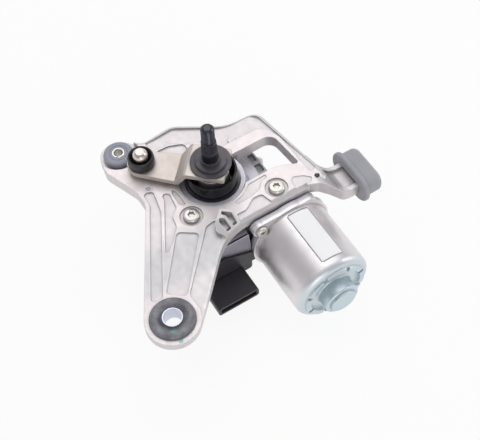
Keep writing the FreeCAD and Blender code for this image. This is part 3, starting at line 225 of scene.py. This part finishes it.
# Lamps, near clip and floor, in metres; each lamp has a name, a place, a size and a power
CLIP_START = 0.01
LAMP_TARGET = (0.02, 0.0, -0.04)
LAMPS = [("top_soft", (-0.62, 0.30, 1.10), 1.3, 6.6),
         ("right_soft", (0.35, 0.95, 0.45), 0.5, 2.0),
         ("front_soft", (1.0, -0.35, 0.30), 0.5, 1.6)]
FLOOR_REACH = 6.0
FLOOR_GAP = 0.0005
FLOOR_TONE = (0.9, 0.9, 0.9)
FLOOR_GLOW_SHARE = 0.9

# Sky: share of the way from straight down to straight up, and tone
HORIZON = (0.58, (0.94, 0.94, 0.95))
ZENITH = (1.0, (0.74, 0.74, 0.75))
SKY_GREYS = [(0.66, 0.38), (0.84, 0.42)]
SKY_BLUE_SHARE = 1.07


def link_object(name, data):
    """New object in the scene from finished data."""
    made = bpy.data.objects.new(name, data)
    bpy.context.scene.collection.objects.link(made)
    return made


def mesh_from(name, bm):
    """Object from a bmesh, with smooth shading except at its sharp edges."""
    bmesh.ops.recalc_face_normals(bm, faces=bm.faces)
    mesh = bpy.data.meshes.new(name)
    bm.to_mesh(mesh)
    bm.free()
    for polygon in mesh.polygons:
        polygon.use_smooth = True
    mesh.set_sharp_from_angle(angle=math.radians(SMOOTH_ANGLE))
    return link_object(name, mesh)


class Paint:
    """Small helper that builds one node material."""

    def __init__(self, name):
        self.material = bpy.data.materials.new(name)
        self.material.use_nodes = True
        self.tree = self.material.node_tree
        self.shader = self.tree.nodes["Principled BSDF"]
        self.place = self.tree.nodes.new("ShaderNodeTexCoord").outputs["Object"]

    def feed(self, socket, value):
        """Link a socket to another one, or set its value; colours gain an alpha of 1."""
        if isinstance(value, bpy.types.NodeSocket):
            self.tree.links.new(value, socket)
        elif socket.type == "RGBA":
            socket.default_value = (*value, 1.0)
        else:
            socket.default_value = value

    def node(self, kind, **inputs):
        """New node with the inputs named, with _ for a space."""
        made = self.tree.nodes.new(kind)
        for key, value in inputs.items():
            self.feed(made.inputs[key.replace("_", " ")], value)
        return made

    def calc(self, operation, *values):
        """Result of a calculation with sockets or numbers."""
        made = self.tree.nodes.new("ShaderNodeMath")
        made.operation = operation
        for socket, value in zip(made.inputs, values):
            self.feed(socket, value)
        return made.outputs[0]

    def times(self, first, second):
        return self.calc("MULTIPLY", first, second)

    def stretch(self, scale):
        """Object coordinates scaled differently along each axis."""
        return self.node("ShaderNodeMapping", Vector=self.place, Scale=scale).outputs["Vector"]

    def noise(self, scale, detail=4.0, rough=0.55, vector=None):
        made = self.node("ShaderNodeTexNoise", Vector=vector or self.place, Scale=scale,
                         Detail=detail, Roughness=rough)
        return made.outputs["Fac"]

    def span(self, value, low, high, start=0.3, end=0.7):
        """Map a factor from start..end to low..high."""
        made = self.node("ShaderNodeMapRange", Value=value, From_Min=start, From_Max=end,
                         To_Min=low, To_Max=high)
        return made.outputs["Result"]

    def blend(self, factor, first, second):
        """Mix two colours by a factor."""
        made = self.tree.nodes.new("ShaderNodeMix")
        made.data_type = "RGBA"
        for number, value in ((0, factor), (6, first), (7, second)):
            self.feed(made.inputs[number], value)
        return made.outputs[2]

    def along(self, axis, start_mm, end_mm):
        """Factor that climbs from 0 to 1 between two places along an axis of the part."""
        split = self.node("ShaderNodeSeparateXYZ", Vector=self.place)
        return self.span(split.outputs[axis], 0.0, 1.0, start_mm * MM, end_mm * MM)

    def openness(self, reach_mm, inside=False):
        """Share of the rays that meet nothing within a reach, outside or inside the solid."""
        made = self.node("ShaderNodeAmbientOcclusion", Distance=reach_mm * MM)
        made.inside = inside
        made.samples = PROBE_SAMPLES
        return made.outputs["AO"]

    def ridges(self, reach_mm):
        """Factor that is high on outward edges."""
        return self.span(self.openness(reach_mm, inside=True), 1.0, 0.0, *RIDGE_RANGE)

    def crevices(self, reach_mm, most):
        """Factor that climbs to most where a surface lies close to another."""
        return self.span(self.openness(reach_mm), most, 0.0, *CREVICE_RANGE)

    def bump(self, height, depth_mm, strength, radius_mm):
        """Bump from a height factor, with its full depth, over edges rounded by a radius."""
        edge = self.node("ShaderNodeBevel", Radius=radius_mm * MM)
        edge.samples = PROBE_SAMPLES
        made = self.node("ShaderNodeBump", Strength=strength, Distance=depth_mm * MM,
                         Height=height, Normal=edge.outputs["Normal"])
        self.tree.links.new(made.outputs["Normal"], self.shader.inputs["Normal"])

    def dab(self, tone, colour, spots):
        """Paint dabs of a colour, with wobbling rims, at (x, y, z, radius) places."""
        wobble = self.noise(450.0, 2.0)
        for x, y, z, radius in spots:
            away = self.tree.nodes.new("ShaderNodeVectorMath")
            away.operation = "DISTANCE"
            self.feed(away.inputs[0], self.place)
            self.feed(away.inputs[1], Vector((x, y, z)) * MM)
            rim = self.calc("MULTIPLY_ADD", wobble, DAB_WOBBLE * radius * MM,
                            away.outputs["Value"])
            inner, outer = [share * radius * MM for share in DAB_EDGE]
            spot = self.span(rim, DAB_COVER, 0.0, inner, outer)
            tone = self.blend(spot, tone, colour)
        return tone

    def put(self, **values):
        """Finish the shader's inputs and hand out the material."""
        for key, value in values.items():
            self.feed(self.shader.inputs[key.replace("_", " ")], value)
        return self.material


def cast_metal(name, light, dark, stain_and_shade, metallic=0.7, floor=None, dabs=()):
    """Blasted die casting: cloudy tone, fine grain, rounded edges with painted highlights, painted
    shade in corners.
    """
    paint = Paint(name)
    cloud = paint.noise(30.0, 4.0)
    streak = paint.noise(140.0, 3.0)
    grain = paint.noise(1500.0, 4.0, 0.6)
    tone = paint.blend(paint.span(cloud, 0.0, 1.0), light, dark)
    # Painted shade: sunk floors, and a band across the long leg, take on the floor tone
    if floor:
        sunk = paint.along("Z", *SUNK_Z)
        tone = paint.blend(paint.times(sunk, SUNK_SHADE_SHARE), tone, floor)
        middle = paint.times(paint.along("X", *BAND_RISE_X), paint.along("X", *BAND_FALL_X))
        band = paint.times(middle, paint.along("Y", *BAND_Y))
        tone = paint.blend(paint.times(band, BAND_SHADE_SHARE), tone, floor)
    tone = paint.blend(paint.span(streak, 0.0, 0.16), tone, stain_and_shade)
    tone = paint.blend(paint.span(grain, 0.0, 0.12, 0.35, 0.75), tone, stain_and_shade)
    # Painted shade: corners and crevices darken where surfaces lie close together
    tone = paint.blend(paint.crevices(3.0, 0.9), tone, stain_and_shade)
    # Painted highlight: outward edges lighten
    tone = paint.blend(paint.times(paint.ridges(0.9), 0.55), tone, EDGE_HIGHLIGHT)
    tone = paint.dab(tone, DAB_ON_METAL, dabs)
    paint.bump(grain, 0.03, 0.35, 0.8)
    return paint.put(Base_Color=tone, Metallic=metallic,
                     Roughness=paint.span(paint.noise(220.0), 0.40, 0.52))


def plated_metal(name, light, dark, rough=(0.24, 0.36), grain_axis=(1.0, 1.0, 1.0),
                 metallic=0.95, grain=0.25, end_tint=None):
    """Plated steel: drawn grain along one axis, cloudy plating, painted highlights on edges,
    painted shade in corners.
    """
    paint = Paint(name)
    drawn = paint.noise(700.0, 3.0, 0.55, paint.stretch(grain_axis))
    cloud = paint.noise(45.0, 3.0)
    tone = paint.blend(paint.span(cloud, 0.0, 1.0), light, dark)
    if end_tint:
        tone = paint.blend(paint.along("X", *CAN_END_X), tone, end_tint)
    tone = paint.blend(paint.span(drawn, 0.0, 0.14), tone, dark)
    # Painted shade in corners and crevices
    tone = paint.blend(paint.crevices(2.0, 0.55), tone, STEEL_CORNER_SHADE)
    # Painted highlight on outward edges
    tone = paint.blend(paint.times(paint.ridges(0.6), 0.4), tone, light)
    paint.bump(drawn, 0.012, grain, 0.4)
    return paint.put(Base_Color=tone, Metallic=metallic,
                     Roughness=paint.span(paint.noise(240.0), *rough))


def moulded(name, light, dark, rough=(0.45, 0.6), grain=900.0, depth=0.04, gloss=0.5,
            mottle=60.0, dabs=()):
    """Moulded plastic or rubber: fine texture, slight painted highlights on edges, painted shade
    in corners.
    """
    paint = Paint(name)
    fine = paint.noise(grain, 3.0, 0.6)
    cloud = paint.noise(mottle, 4.0)
    tone = paint.blend(paint.span(cloud, 0.0, 1.0), light, dark)
    tone = paint.blend(paint.span(fine, 0.0, 0.2), tone, dark)
    # Painted shade in corners and crevices
    tone = paint.blend(paint.crevices(2.0, 0.5), tone, PLASTIC_CORNER_SHADE)
    # Painted highlight on outward edges
    tone = paint.blend(paint.times(paint.ridges(0.6), 0.5), tone, light)
    tone = paint.dab(tone, DAB_ON_RUBBER, dabs)
    paint.bump(fine, depth, 0.4, 0.5)
    return paint.put(Base_Color=tone, Metallic=0.0, Specular_IOR_Level=gloss,
                     Roughness=paint.span(paint.noise(320.0), *rough))


CAST = {
    # floor: tone of the painted shade on sunk floors and on the band across the long leg
    "cast_aluminium": dict(light=(0.84, 0.765, 0.755), dark=(0.76, 0.71, 0.71),
                           stain_and_shade=(0.40, 0.39, 0.41), floor=(0.50, 0.51, 0.52),
                           dabs=BRACKET_DABS),
    "housing_aluminium": dict(light=(0.66, 0.65, 0.70), dark=(0.54, 0.53, 0.58),
                              stain_and_shade=(0.27, 0.26, 0.30)),
    "shaded_casting": dict(light=(0.34, 0.325, 0.37), dark=(0.27, 0.26, 0.30),
                           stain_and_shade=(0.14, 0.14, 0.17)),
    "deep_shade": dict(light=(0.05, 0.045, 0.055), dark=(0.025, 0.022, 0.03),
                       stain_and_shade=(0.012, 0.01, 0.014), metallic=0.3),
    "sintered_bronze": dict(light=(0.62, 0.47, 0.28), dark=(0.48, 0.35, 0.2),
                            stain_and_shade=(0.2, 0.14, 0.07)),
    "ferrite": dict(light=(0.10, 0.10, 0.11), dark=(0.06, 0.06, 0.07),
                    stain_and_shade=(0.02, 0.02, 0.02), metallic=0.2),
}
PLATED = {
    "bright_aluminium": dict(light=(0.68, 0.71, 0.80), dark=(0.52, 0.55, 0.64), grain=0.08),
    "zinc_steel": dict(light=(0.80, 0.79, 0.75), dark=(0.64, 0.63, 0.60)),
    "screw_steel": dict(light=(0.76, 0.73, 0.68), dark=(0.60, 0.57, 0.53), rough=(0.26, 0.36),
                        metallic=0.85),
    "zinc_plate": dict(light=(0.64, 0.575, 0.53), dark=(0.53, 0.48, 0.44), rough=(0.36, 0.48),
                       metallic=0.75),
    "phosphated_steel": dict(light=(0.12, 0.112, 0.122), dark=(0.068, 0.064, 0.072),
                             rough=(0.34, 0.46), metallic=0.5),
    "spindle_steel": dict(light=(0.085, 0.085, 0.105), dark=(0.026, 0.026, 0.036),
                          rough=(0.13, 0.22), metallic=0.85),
    "ball_steel": dict(light=(0.76, 0.68, 0.62), dark=(0.64, 0.57, 0.52), rough=(0.24, 0.34)),
    "bearing_steel": dict(light=(0.82, 0.82, 0.84), dark=(0.66, 0.66, 0.69), rough=(0.1, 0.18)),
    "lamination_steel": dict(light=(0.35, 0.35, 0.37), dark=(0.22, 0.22, 0.24),
                             rough=(0.4, 0.5), grain_axis=(6.0, 0.2, 0.2)),
    "can_steel": dict(light=(0.86, 0.82, 0.82), dark=(0.74, 0.715, 0.73), rough=(0.36, 0.48),
                      grain_axis=(0.12, 1.0, 1.0), metallic=0.9, grain=0.12,
                      end_tint=(0.56, 0.66, 0.70)),
    "copper_wire": dict(light=(0.72, 0.34, 0.16), dark=(0.5, 0.2, 0.08), rough=(0.25, 0.35),
                        grain_axis=(0.3, 2.0, 2.0)),
    "copper_bars": dict(light=(0.82, 0.46, 0.30), dark=(0.6, 0.32, 0.2)),
    "tinned_brass": dict(light=(0.80, 0.79, 0.74), dark=(0.62, 0.6, 0.55)),
}
MOULDED = {
    "dark_rubber": dict(light=(0.33, 0.33, 0.35), dark=(0.13, 0.13, 0.145), rough=(0.36, 0.54),
                        mottle=150.0, dabs=GROMMET_DABS),
    "grey_rubber": dict(light=(0.35, 0.36, 0.42), dark=(0.28, 0.29, 0.35), rough=(0.4, 0.55),
                        dabs=EYE_DABS),
    "black_rubber": dict(light=(0.022, 0.022, 0.026), dark=(0.012, 0.012, 0.015),
                         rough=(0.2, 0.32)),
    "cap_rubber": dict(light=(0.385, 0.38, 0.41), dark=(0.34, 0.34, 0.37), rough=(0.5, 0.65)),
    "gloss_black": dict(light=(0.010, 0.010, 0.014), dark=(0.005, 0.005, 0.008),
                        rough=(0.07, 0.12), grain=500.0, depth=0.008, gloss=0.3),
    "black_plastic": dict(light=(0.052, 0.048, 0.056), dark=(0.034, 0.031, 0.038),
                          rough=(0.34, 0.46), gloss=0.25),
    "natural_plastic": dict(light=(0.60, 0.55, 0.44), dark=(0.5, 0.45, 0.35)),
    "gear_plastic": dict(light=(0.80, 0.79, 0.73), dark=(0.7, 0.69, 0.62)),
    "board_green": dict(light=(0.02, 0.16, 0.06), dark=(0.015, 0.1, 0.04), rough=(0.3, 0.4)),
    "carbon": dict(light=(0.06, 0.06, 0.065), dark=(0.03, 0.03, 0.035)),
    "label_white": dict(light=(0.98, 0.98, 0.97), dark=(0.95, 0.95, 0.95), rough=(0.35, 0.45),
                        grain=1200.0, depth=0.006),
}
MATERIALS = {name: build(name, **look)
             for build, looks in ((cast_metal, CAST), (plated_metal, PLATED), (moulded, MOULDED))
             for name, look in looks.items()}

# Nodes whose finish differs from the rest of their material slot
FINISHES = {"ball_seal_ring": "black_rubber"}

for entry in frame["record"]["subparts"]:
    piece = nodes[entry["node"]]
    piece.data.materials.clear()
    piece.data.materials.append(MATERIALS[FINISHES.get(entry["node"], entry["material_slot"])])


def dress(piece, slot, body, material=None, *replaced):
    """Material, body and replaced solids of a new piece; the slot's material serves when no other
    is named.
    """
    piece.data.materials.append(MATERIALS[material or slot])
    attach(piece, body)
    if replaced:
        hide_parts(*replaced)


def skin(bm, rings):
    """Faces between each closed ring of points and the next."""
    for lower, upper in zip(rings, rings[1:]):
        for k in range(len(lower)):
            following = (k + 1) % len(lower)
            bm.faces.new((lower[k], lower[following], upper[following], upper[k]))


def cap(bm, rings):
    """Faces that close the first and the last ring."""
    bm.faces.new(rings[0][::-1])
    bm.faces.new(rings[-1])


def spun(name, rows, around, place, hollow=False):
    """Turned body from (height, radius(angle)) rows; place maps (x, y, z) to a point."""
    bm = bmesh.new()
    rings = []
    for height, radius in rows:
        line = []
        for k in range(around):
            angle = 2 * math.pi * k / around
            reach = radius(angle) if callable(radius) else radius
            spot = place(reach * math.cos(angle), reach * math.sin(angle), height)
            line.append(bm.verts.new(spot))
        rings.append(line)
    if hollow:
        skin(bm, rings + rings[:1])
    else:
        skin(bm, rings)
        cap(bm, rings)
    return mesh_from(name, bm)


def drawn_out(name, outline, start, end, axis="Y"):
    """Straight piece along X or Y from an outline of (across, height over the rim) points."""
    def spot(reach, across, height):
        x, y = (across, reach) if axis == "Y" else (reach, across)
        return Vector((x, y, RIM + height)) * MM

    bm = bmesh.new()
    rings = [[bm.verts.new(spot(reach, across, height)) for across, height in outline]
             for reach in (start, end)]
    cap(bm, rings)
    skin(bm, rings)
    return mesh_from(name, bm)


def upright_at(x, y, z):
    """Places a piece drawn along +Z on a spot of the part."""
    return lambda u, v, w: Vector((x + u, y + v, z + w)) * MM


def lengthwise_at(x, y, z):
    """Places a piece drawn along +Z so that it points along +X."""
    return lambda u, v, w: Vector((x + w, y + v, z - u)) * MM


def screw_rows(head_radius, head_height, shank_radius, length, recess, depth):
    """Rows of a pan-head screw whose head stands on height 0, down into its six-lobe recess."""
    def six_lobe(offset, lobe):
        return lambda angle: recess + offset + recess * lobe * math.cos(LOBES * angle)

    dome = head_height * DOME_SHARE
    rows = [(-length, shank_radius * POINT_SHARE), (-length + POINT_LENGTH, shank_radius),
            (-LEDGE, shank_radius), (0.0, head_radius * HEAD_FOOT_SHARE),
            (HEAD_FOOT_HEIGHT, head_radius), (head_height - dome, head_radius)]
    for step in range(1, DOME_STEPS + 1):
        angle = math.radians(DOME_SWEEP * step / DOME_STEPS)
        rows.append((head_height - dome + dome * math.sin(angle),
                     head_radius - DOME_DROP * head_radius * (1 - math.cos(angle))))
    rows.append((head_height, six_lobe(*RECESS_MOUTH)))
    rows.append((head_height - RECESS_CHAMFER, six_lobe(*RECESS_WALL)))
    rows.append((head_height - depth, six_lobe(*RECESS_FLOOR)))
    rows.append((head_height - depth - LEDGE, recess * RECESS_CENTRE_SHARE))
    return rows


def bracket_screws():
    """Six-lobe pan-head screws of the bracket."""
    rows = screw_rows(**BRACKET_SCREW)
    for number, (x, y) in enumerate(BRACKET_SCREW_PLACES):
        screw = spun(f"bracket_screw_{number}", rows, FINE_SIDES,
                     upright_at(x, y, RIM - POCKET_DEPTH))
        dress(screw, "zinc_steel", "base", "screw_steel", "bracket_screws")


def can_screws():
    """Screws that hold the motor can's flange."""
    rows = screw_rows(**CAN_SCREW)
    for number, (y, z) in enumerate(CAN_SCREW_PLACES):
        screw = spun(f"can_screw_{number}", rows, FINE_SIDES,
                     lengthwise_at(CAN_FACE, y, RIM + z))
        dress(screw, "zinc_steel", "base", "screw_steel", "can_screws")


def faded(depth, share, steepness):
    """Depth of a cut that runs out at both ends of a stretch, at a share of its length."""
    return depth * min(1.0, steepness * share, steepness * (1 - share))


def fluted(radius, depth):
    """Radius of the knurl as a function of the angle."""
    return lambda angle: radius - depth * (0.5 + 0.5 * math.cos(KNURL_COUNT * angle))


def threaded(height, depth):
    """Radius of the thread as a function of the angle, at a height over its start."""
    def radius(angle):
        phase = (height / THREAD_PITCH - angle / (2 * math.pi)) % 1.0
        return THREAD_RADIUS - depth * abs(2 * phase - 1)
    return radius


def spindle():
    """Wiper spindle with its knurled taper, undercut, thread and domed tip."""
    rows = [(SPINDLE_BOTTOM, JOURNAL_RADIUS - JOURNAL_CHAMFER),
            (SPINDLE_BOTTOM + JOURNAL_CHAMFER, JOURNAL_RADIUS),
            (-SEAT_LEDGE, JOURNAL_RADIUS), (0.0, SEAT_RADIUS), (SEAT_LENGTH, SEAT_RADIUS)]
    for step in range(KNURL_STEPS + 1):
        share = step / KNURL_STEPS
        rows.append((SEAT_LENGTH + KNURL_MARGIN + (TAPER_LENGTH - 2 * KNURL_MARGIN) * share,
                     fluted(SEAT_RADIUS + (TAPER_END_RADIUS - SEAT_RADIUS) * share,
                            faded(KNURL_DEPTH, share, KNURL_FADE))))
    taper_end = SEAT_LENGTH + TAPER_LENGTH
    thread_start = taper_end + UNDERCUT_LENGTH
    rows += [(taper_end, TAPER_END_RADIUS - TAPER_END_CHAMFER),
             (taper_end + LEDGE, UNDERCUT_RADIUS), (thread_start, UNDERCUT_RADIUS)]
    for step in range(THREAD_STEPS + 1):
        share = step / THREAD_STEPS
        height = THREAD_LENGTH * share
        rows.append((thread_start + THREAD_MARGIN + height,
                     threaded(height, faded(THREAD_DEPTH, share, THREAD_FADE))))
    top = thread_start + THREAD_LENGTH + 2 * THREAD_MARGIN
    dome = TIP_LENGTH - 2 * THREAD_MARGIN
    for step in range(1, TIP_STEPS + 1):
        angle = math.radians(TIP_SWEEP * step / TIP_STEPS)
        rows.append((top + dome * math.sin(angle), THREAD_RADIUS - TIP_EDGE
                     - (THREAD_RADIUS - TIP_FLAT_RADIUS) * (1 - math.cos(angle))))
    shaft = spun("spindle_detailed", rows, KNURL_COUNT * SIDES_PER_TOOTH, upright_at(0, 0, 0))
    dress(shaft, "phosphated_steel", "spindle", "spindle_steel", "spindle_shaft")


def housing_side():
    """Smooth wall of the housing between leg and can, with its seam and the cover's black lip."""
    wall = drawn_out("housing_side_wall", SIDE_WALL, *SIDE_WALL_Y)
    dress(wall, "housing_aluminium", "base", "shaded_casting")
    lip = drawn_out("cover_lip", COVER_LIP, *COVER_LIP_X, axis="X")
    dress(lip, "black_plastic", "base")


def pocket_shades():
    """Dark plates of painted shade on the floors of the two pockets seen through the bracket's
    window.
    """
    for number, (left, right) in enumerate(POCKET_SHADES_X):
        shade = drawn_out(f"pocket_shade_{number}", [
            (left, SHADE_BOTTOM), (right, SHADE_BOTTOM), (right, SHADE_STEP_TOP),
            (right - SHADE_SLOPE, SHADE_CREST), (right - 2 * SHADE_SLOPE, SHADE_TOP),
            (left, SHADE_TOP),
        ], *POCKET_SHADES_Y)
        dress(shade, "housing_aluminium", "base", "deep_shade")


def hole_rim():
    """Low raised rim of the small hole beside the leg's long pocket, and a dark disc of painted
    shade in it.
    """
    place = upright_at(*SMALL_HOLE, RIM)
    rim = spun("hole_rim", HOLE_RIM, RIM_SIDES, place, hollow=True)
    dress(rim, "cast_aluminium", "base")
    # Painted shade: dark disc inside the hole's rim
    floor = spun("hole_shade_disc", HOLE_SHADE_DISC, FLOOR_SIDES, place)
    dress(floor, "cast_aluminium", "base", "deep_shade")


def small_eye_fittings():
    """Bulging grommet of the small eye and its rolled sleeve with the slit."""
    grommet = spun("small_grommet_soft", SMALL_GROMMET, FINE_SIDES,
                   upright_at(*SMALL_EYE, RIM), hollow=True)
    dress(grommet, "grey_rubber", "base", None, "small_grommet")
    bm = bmesh.new()
    rings = []
    for step in range(SLEEVE_STEPS + 1):
        angle = math.radians(SLIT_ANGLE + SLIT_WIDTH / 2
                             + (360.0 - SLIT_WIDTH) * step / SLEEVE_STEPS)
        rings.append([bm.verts.new(Vector((SMALL_EYE[0] + radius * math.cos(angle),
                                           SMALL_EYE[1] + radius * math.sin(angle),
                                           RIM + height)) * MM)
                      for radius, height in SLEEVE_SECTION])
    skin(bm, rings)
    cap(bm, rings)
    dress(mesh_from("rolled_sleeve", bm), "zinc_steel", "base", None, "split_sleeve")


def seal_cup():
    """Thin-lipped rubber cup round the ball."""
    low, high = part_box("ball_seal_ring")
    x, y = [(low[axis] + high[axis]) / 2 * PER_METRE for axis in (0, 1)]
    cup = spun("ball_seal_cup", SEAL_CUP, FINE_SIDES, upright_at(x, y, low[2] * PER_METRE),
               hollow=True)
    dress(cup, "dark_rubber", "spindle", "black_rubber", "ball_seal_ring")


def can_label():
    """Bare white label wrapped on the upper side of the can."""
    radius = CAN_RADIUS + LABEL_LIFT
    length = LABEL_X[1] - LABEL_X[0]
    width = math.radians(LABEL_ANGLES[1] - LABEL_ANGLES[0]) * radius
    bm = bmesh.new()
    grid = []
    for i in range(LABEL_COLUMNS + 1):
        along = length * i / LABEL_COLUMNS
        edge = min(along, length - along)
        pull = 0.0
        if edge < LABEL_CORNER:
            pull = LABEL_CORNER - math.sqrt(LABEL_CORNER ** 2 - (LABEL_CORNER - edge) ** 2)
        line = []
        for j in range(LABEL_ROWS + 1):
            across = pull + (width - 2 * pull) * j / LABEL_ROWS
            angle = math.radians(LABEL_ANGLES[0]) + across / radius
            line.append(bm.verts.new(Vector((LABEL_X[0] + along,
                                             CAN_Y + radius * math.cos(angle),
                                             CAN_Z + radius * math.sin(angle))) * MM))
        grid.append(line)
    for former, latter in zip(grid, grid[1:]):
        for j in range(LABEL_ROWS):
            bm.faces.new((former[j], latter[j], latter[j + 1], former[j + 1]))
    label = mesh_from("can_label", bm)
    solid = label.modifiers.new("thickness", "SOLIDIFY")
    solid.thickness = LABEL_LIFT * MM
    solid.offset = -1.0
    dress(label, "can_steel", "base", "label_white")


can_label()
housing_side()
pocket_shades()
hole_rim()
small_eye_fittings()
seal_cup()
bracket_screws()
can_screws()
spindle()


def add_camera():
    """Camera at the photograph's viewing angle."""
    right = Vector(CAMERA_RIGHT)
    back = Vector(CAMERA_BACK).normalized()
    right = (right - back * right.dot(back)).normalized()
    up = back.cross(right)
    data = bpy.data.cameras.new("camera")
    data.lens = LENS
    data.sensor_width = SENSOR_WIDTH
    data.clip_start = CLIP_START
    camera = link_object("camera", data)
    rotation = Matrix((right, up, back)).transposed().to_4x4()
    camera.matrix_world = Matrix.Translation(Vector(CAMERA_PLACE) * MM) @ rotation
    bpy.context.scene.camera = camera


def add_lamp(name, position, size, power):
    """Soft square lamp aimed at the part."""
    data = bpy.data.lights.new(name, "AREA")
    data.shape = "RECTANGLE"
    data.size = size
    data.size_y = size
    data.energy = power
    lamp = link_object(name, data)
    lamp.location = Vector(position)
    aim = Vector(LAMP_TARGET) - Vector(position)
    lamp.rotation_euler = aim.to_track_quat("-Z", "Y").to_euler()


def add_world():
    """White studio: pale at the horizon and overhead, greyer between them."""
    world = bpy.data.worlds.new("studio")
    bpy.context.scene.world = world
    world.use_nodes = True
    tree = world.node_tree
    background = tree.nodes["Background"]
    direction = tree.nodes.new("ShaderNodeTexCoord")
    split = tree.nodes.new("ShaderNodeSeparateXYZ")
    tree.links.new(direction.outputs["Generated"], split.inputs[0])
    ramp = tree.nodes.new("ShaderNodeValToRGB")
    stops = ramp.color_ramp.elements
    for stop, (position, tone) in zip(stops, (HORIZON, ZENITH)):
        stop.position = position
        stop.color = (*tone, 1)
    for position, grey in SKY_GREYS:
        stops.new(position).color = (grey, grey, SKY_BLUE_SHARE * grey, 1)
    shift = tree.nodes.new("ShaderNodeMapRange")
    shift.inputs["From Min"].default_value = -1.0
    tree.links.new(split.outputs["Z"], shift.inputs["Value"])
    tree.links.new(shift.outputs["Result"], ramp.inputs["Fac"])
    tree.links.new(ramp.outputs["Color"], background.inputs["Color"])
    background.inputs["Strength"].default_value = 1.0


def add_floor():
    """Plain pale floor under the lowest point, glowing to the camera and to reflections."""
    bm = bmesh.new()
    bmesh.ops.create_grid(bm, x_segments=1, y_segments=1, size=FLOOR_REACH)
    floor = mesh_from("floor", bm)
    floor.location = (0, 0, cad_bounds[0][2] - FLOOR_GAP)
    paint = Paint("floor")
    tree = paint.tree
    tree.nodes.remove(paint.shader)
    rays = tree.nodes.new("ShaderNodeLightPath").outputs
    seen = paint.calc("MAXIMUM", rays["Is Camera Ray"], rays["Is Glossy Ray"])
    seen = paint.calc("MAXIMUM", seen, rays["Is Transmission Ray"])
    mix = tree.nodes.new("ShaderNodeMixShader")
    surfaces = (paint.times(seen, FLOOR_GLOW_SHARE),
                paint.node("ShaderNodeBsdfDiffuse", Color=FLOOR_TONE).outputs[0],
                paint.node("ShaderNodeEmission", Strength=1.0).outputs[0])
    for socket, value in zip(mix.inputs, surfaces):
        paint.feed(socket, value)
    tree.links.new(mix.outputs[0], tree.nodes["Material Output"].inputs["Surface"])
    floor.data.materials.append(paint.material)


add_camera()
add_world()
add_floor()
for lamp_name, lamp_place, lamp_size, lamp_power in LAMPS:
    add_lamp(lamp_name, lamp_place, lamp_size, lamp_power)

view = bpy.context.scene.view_settings
view.view_transform = "Standard"
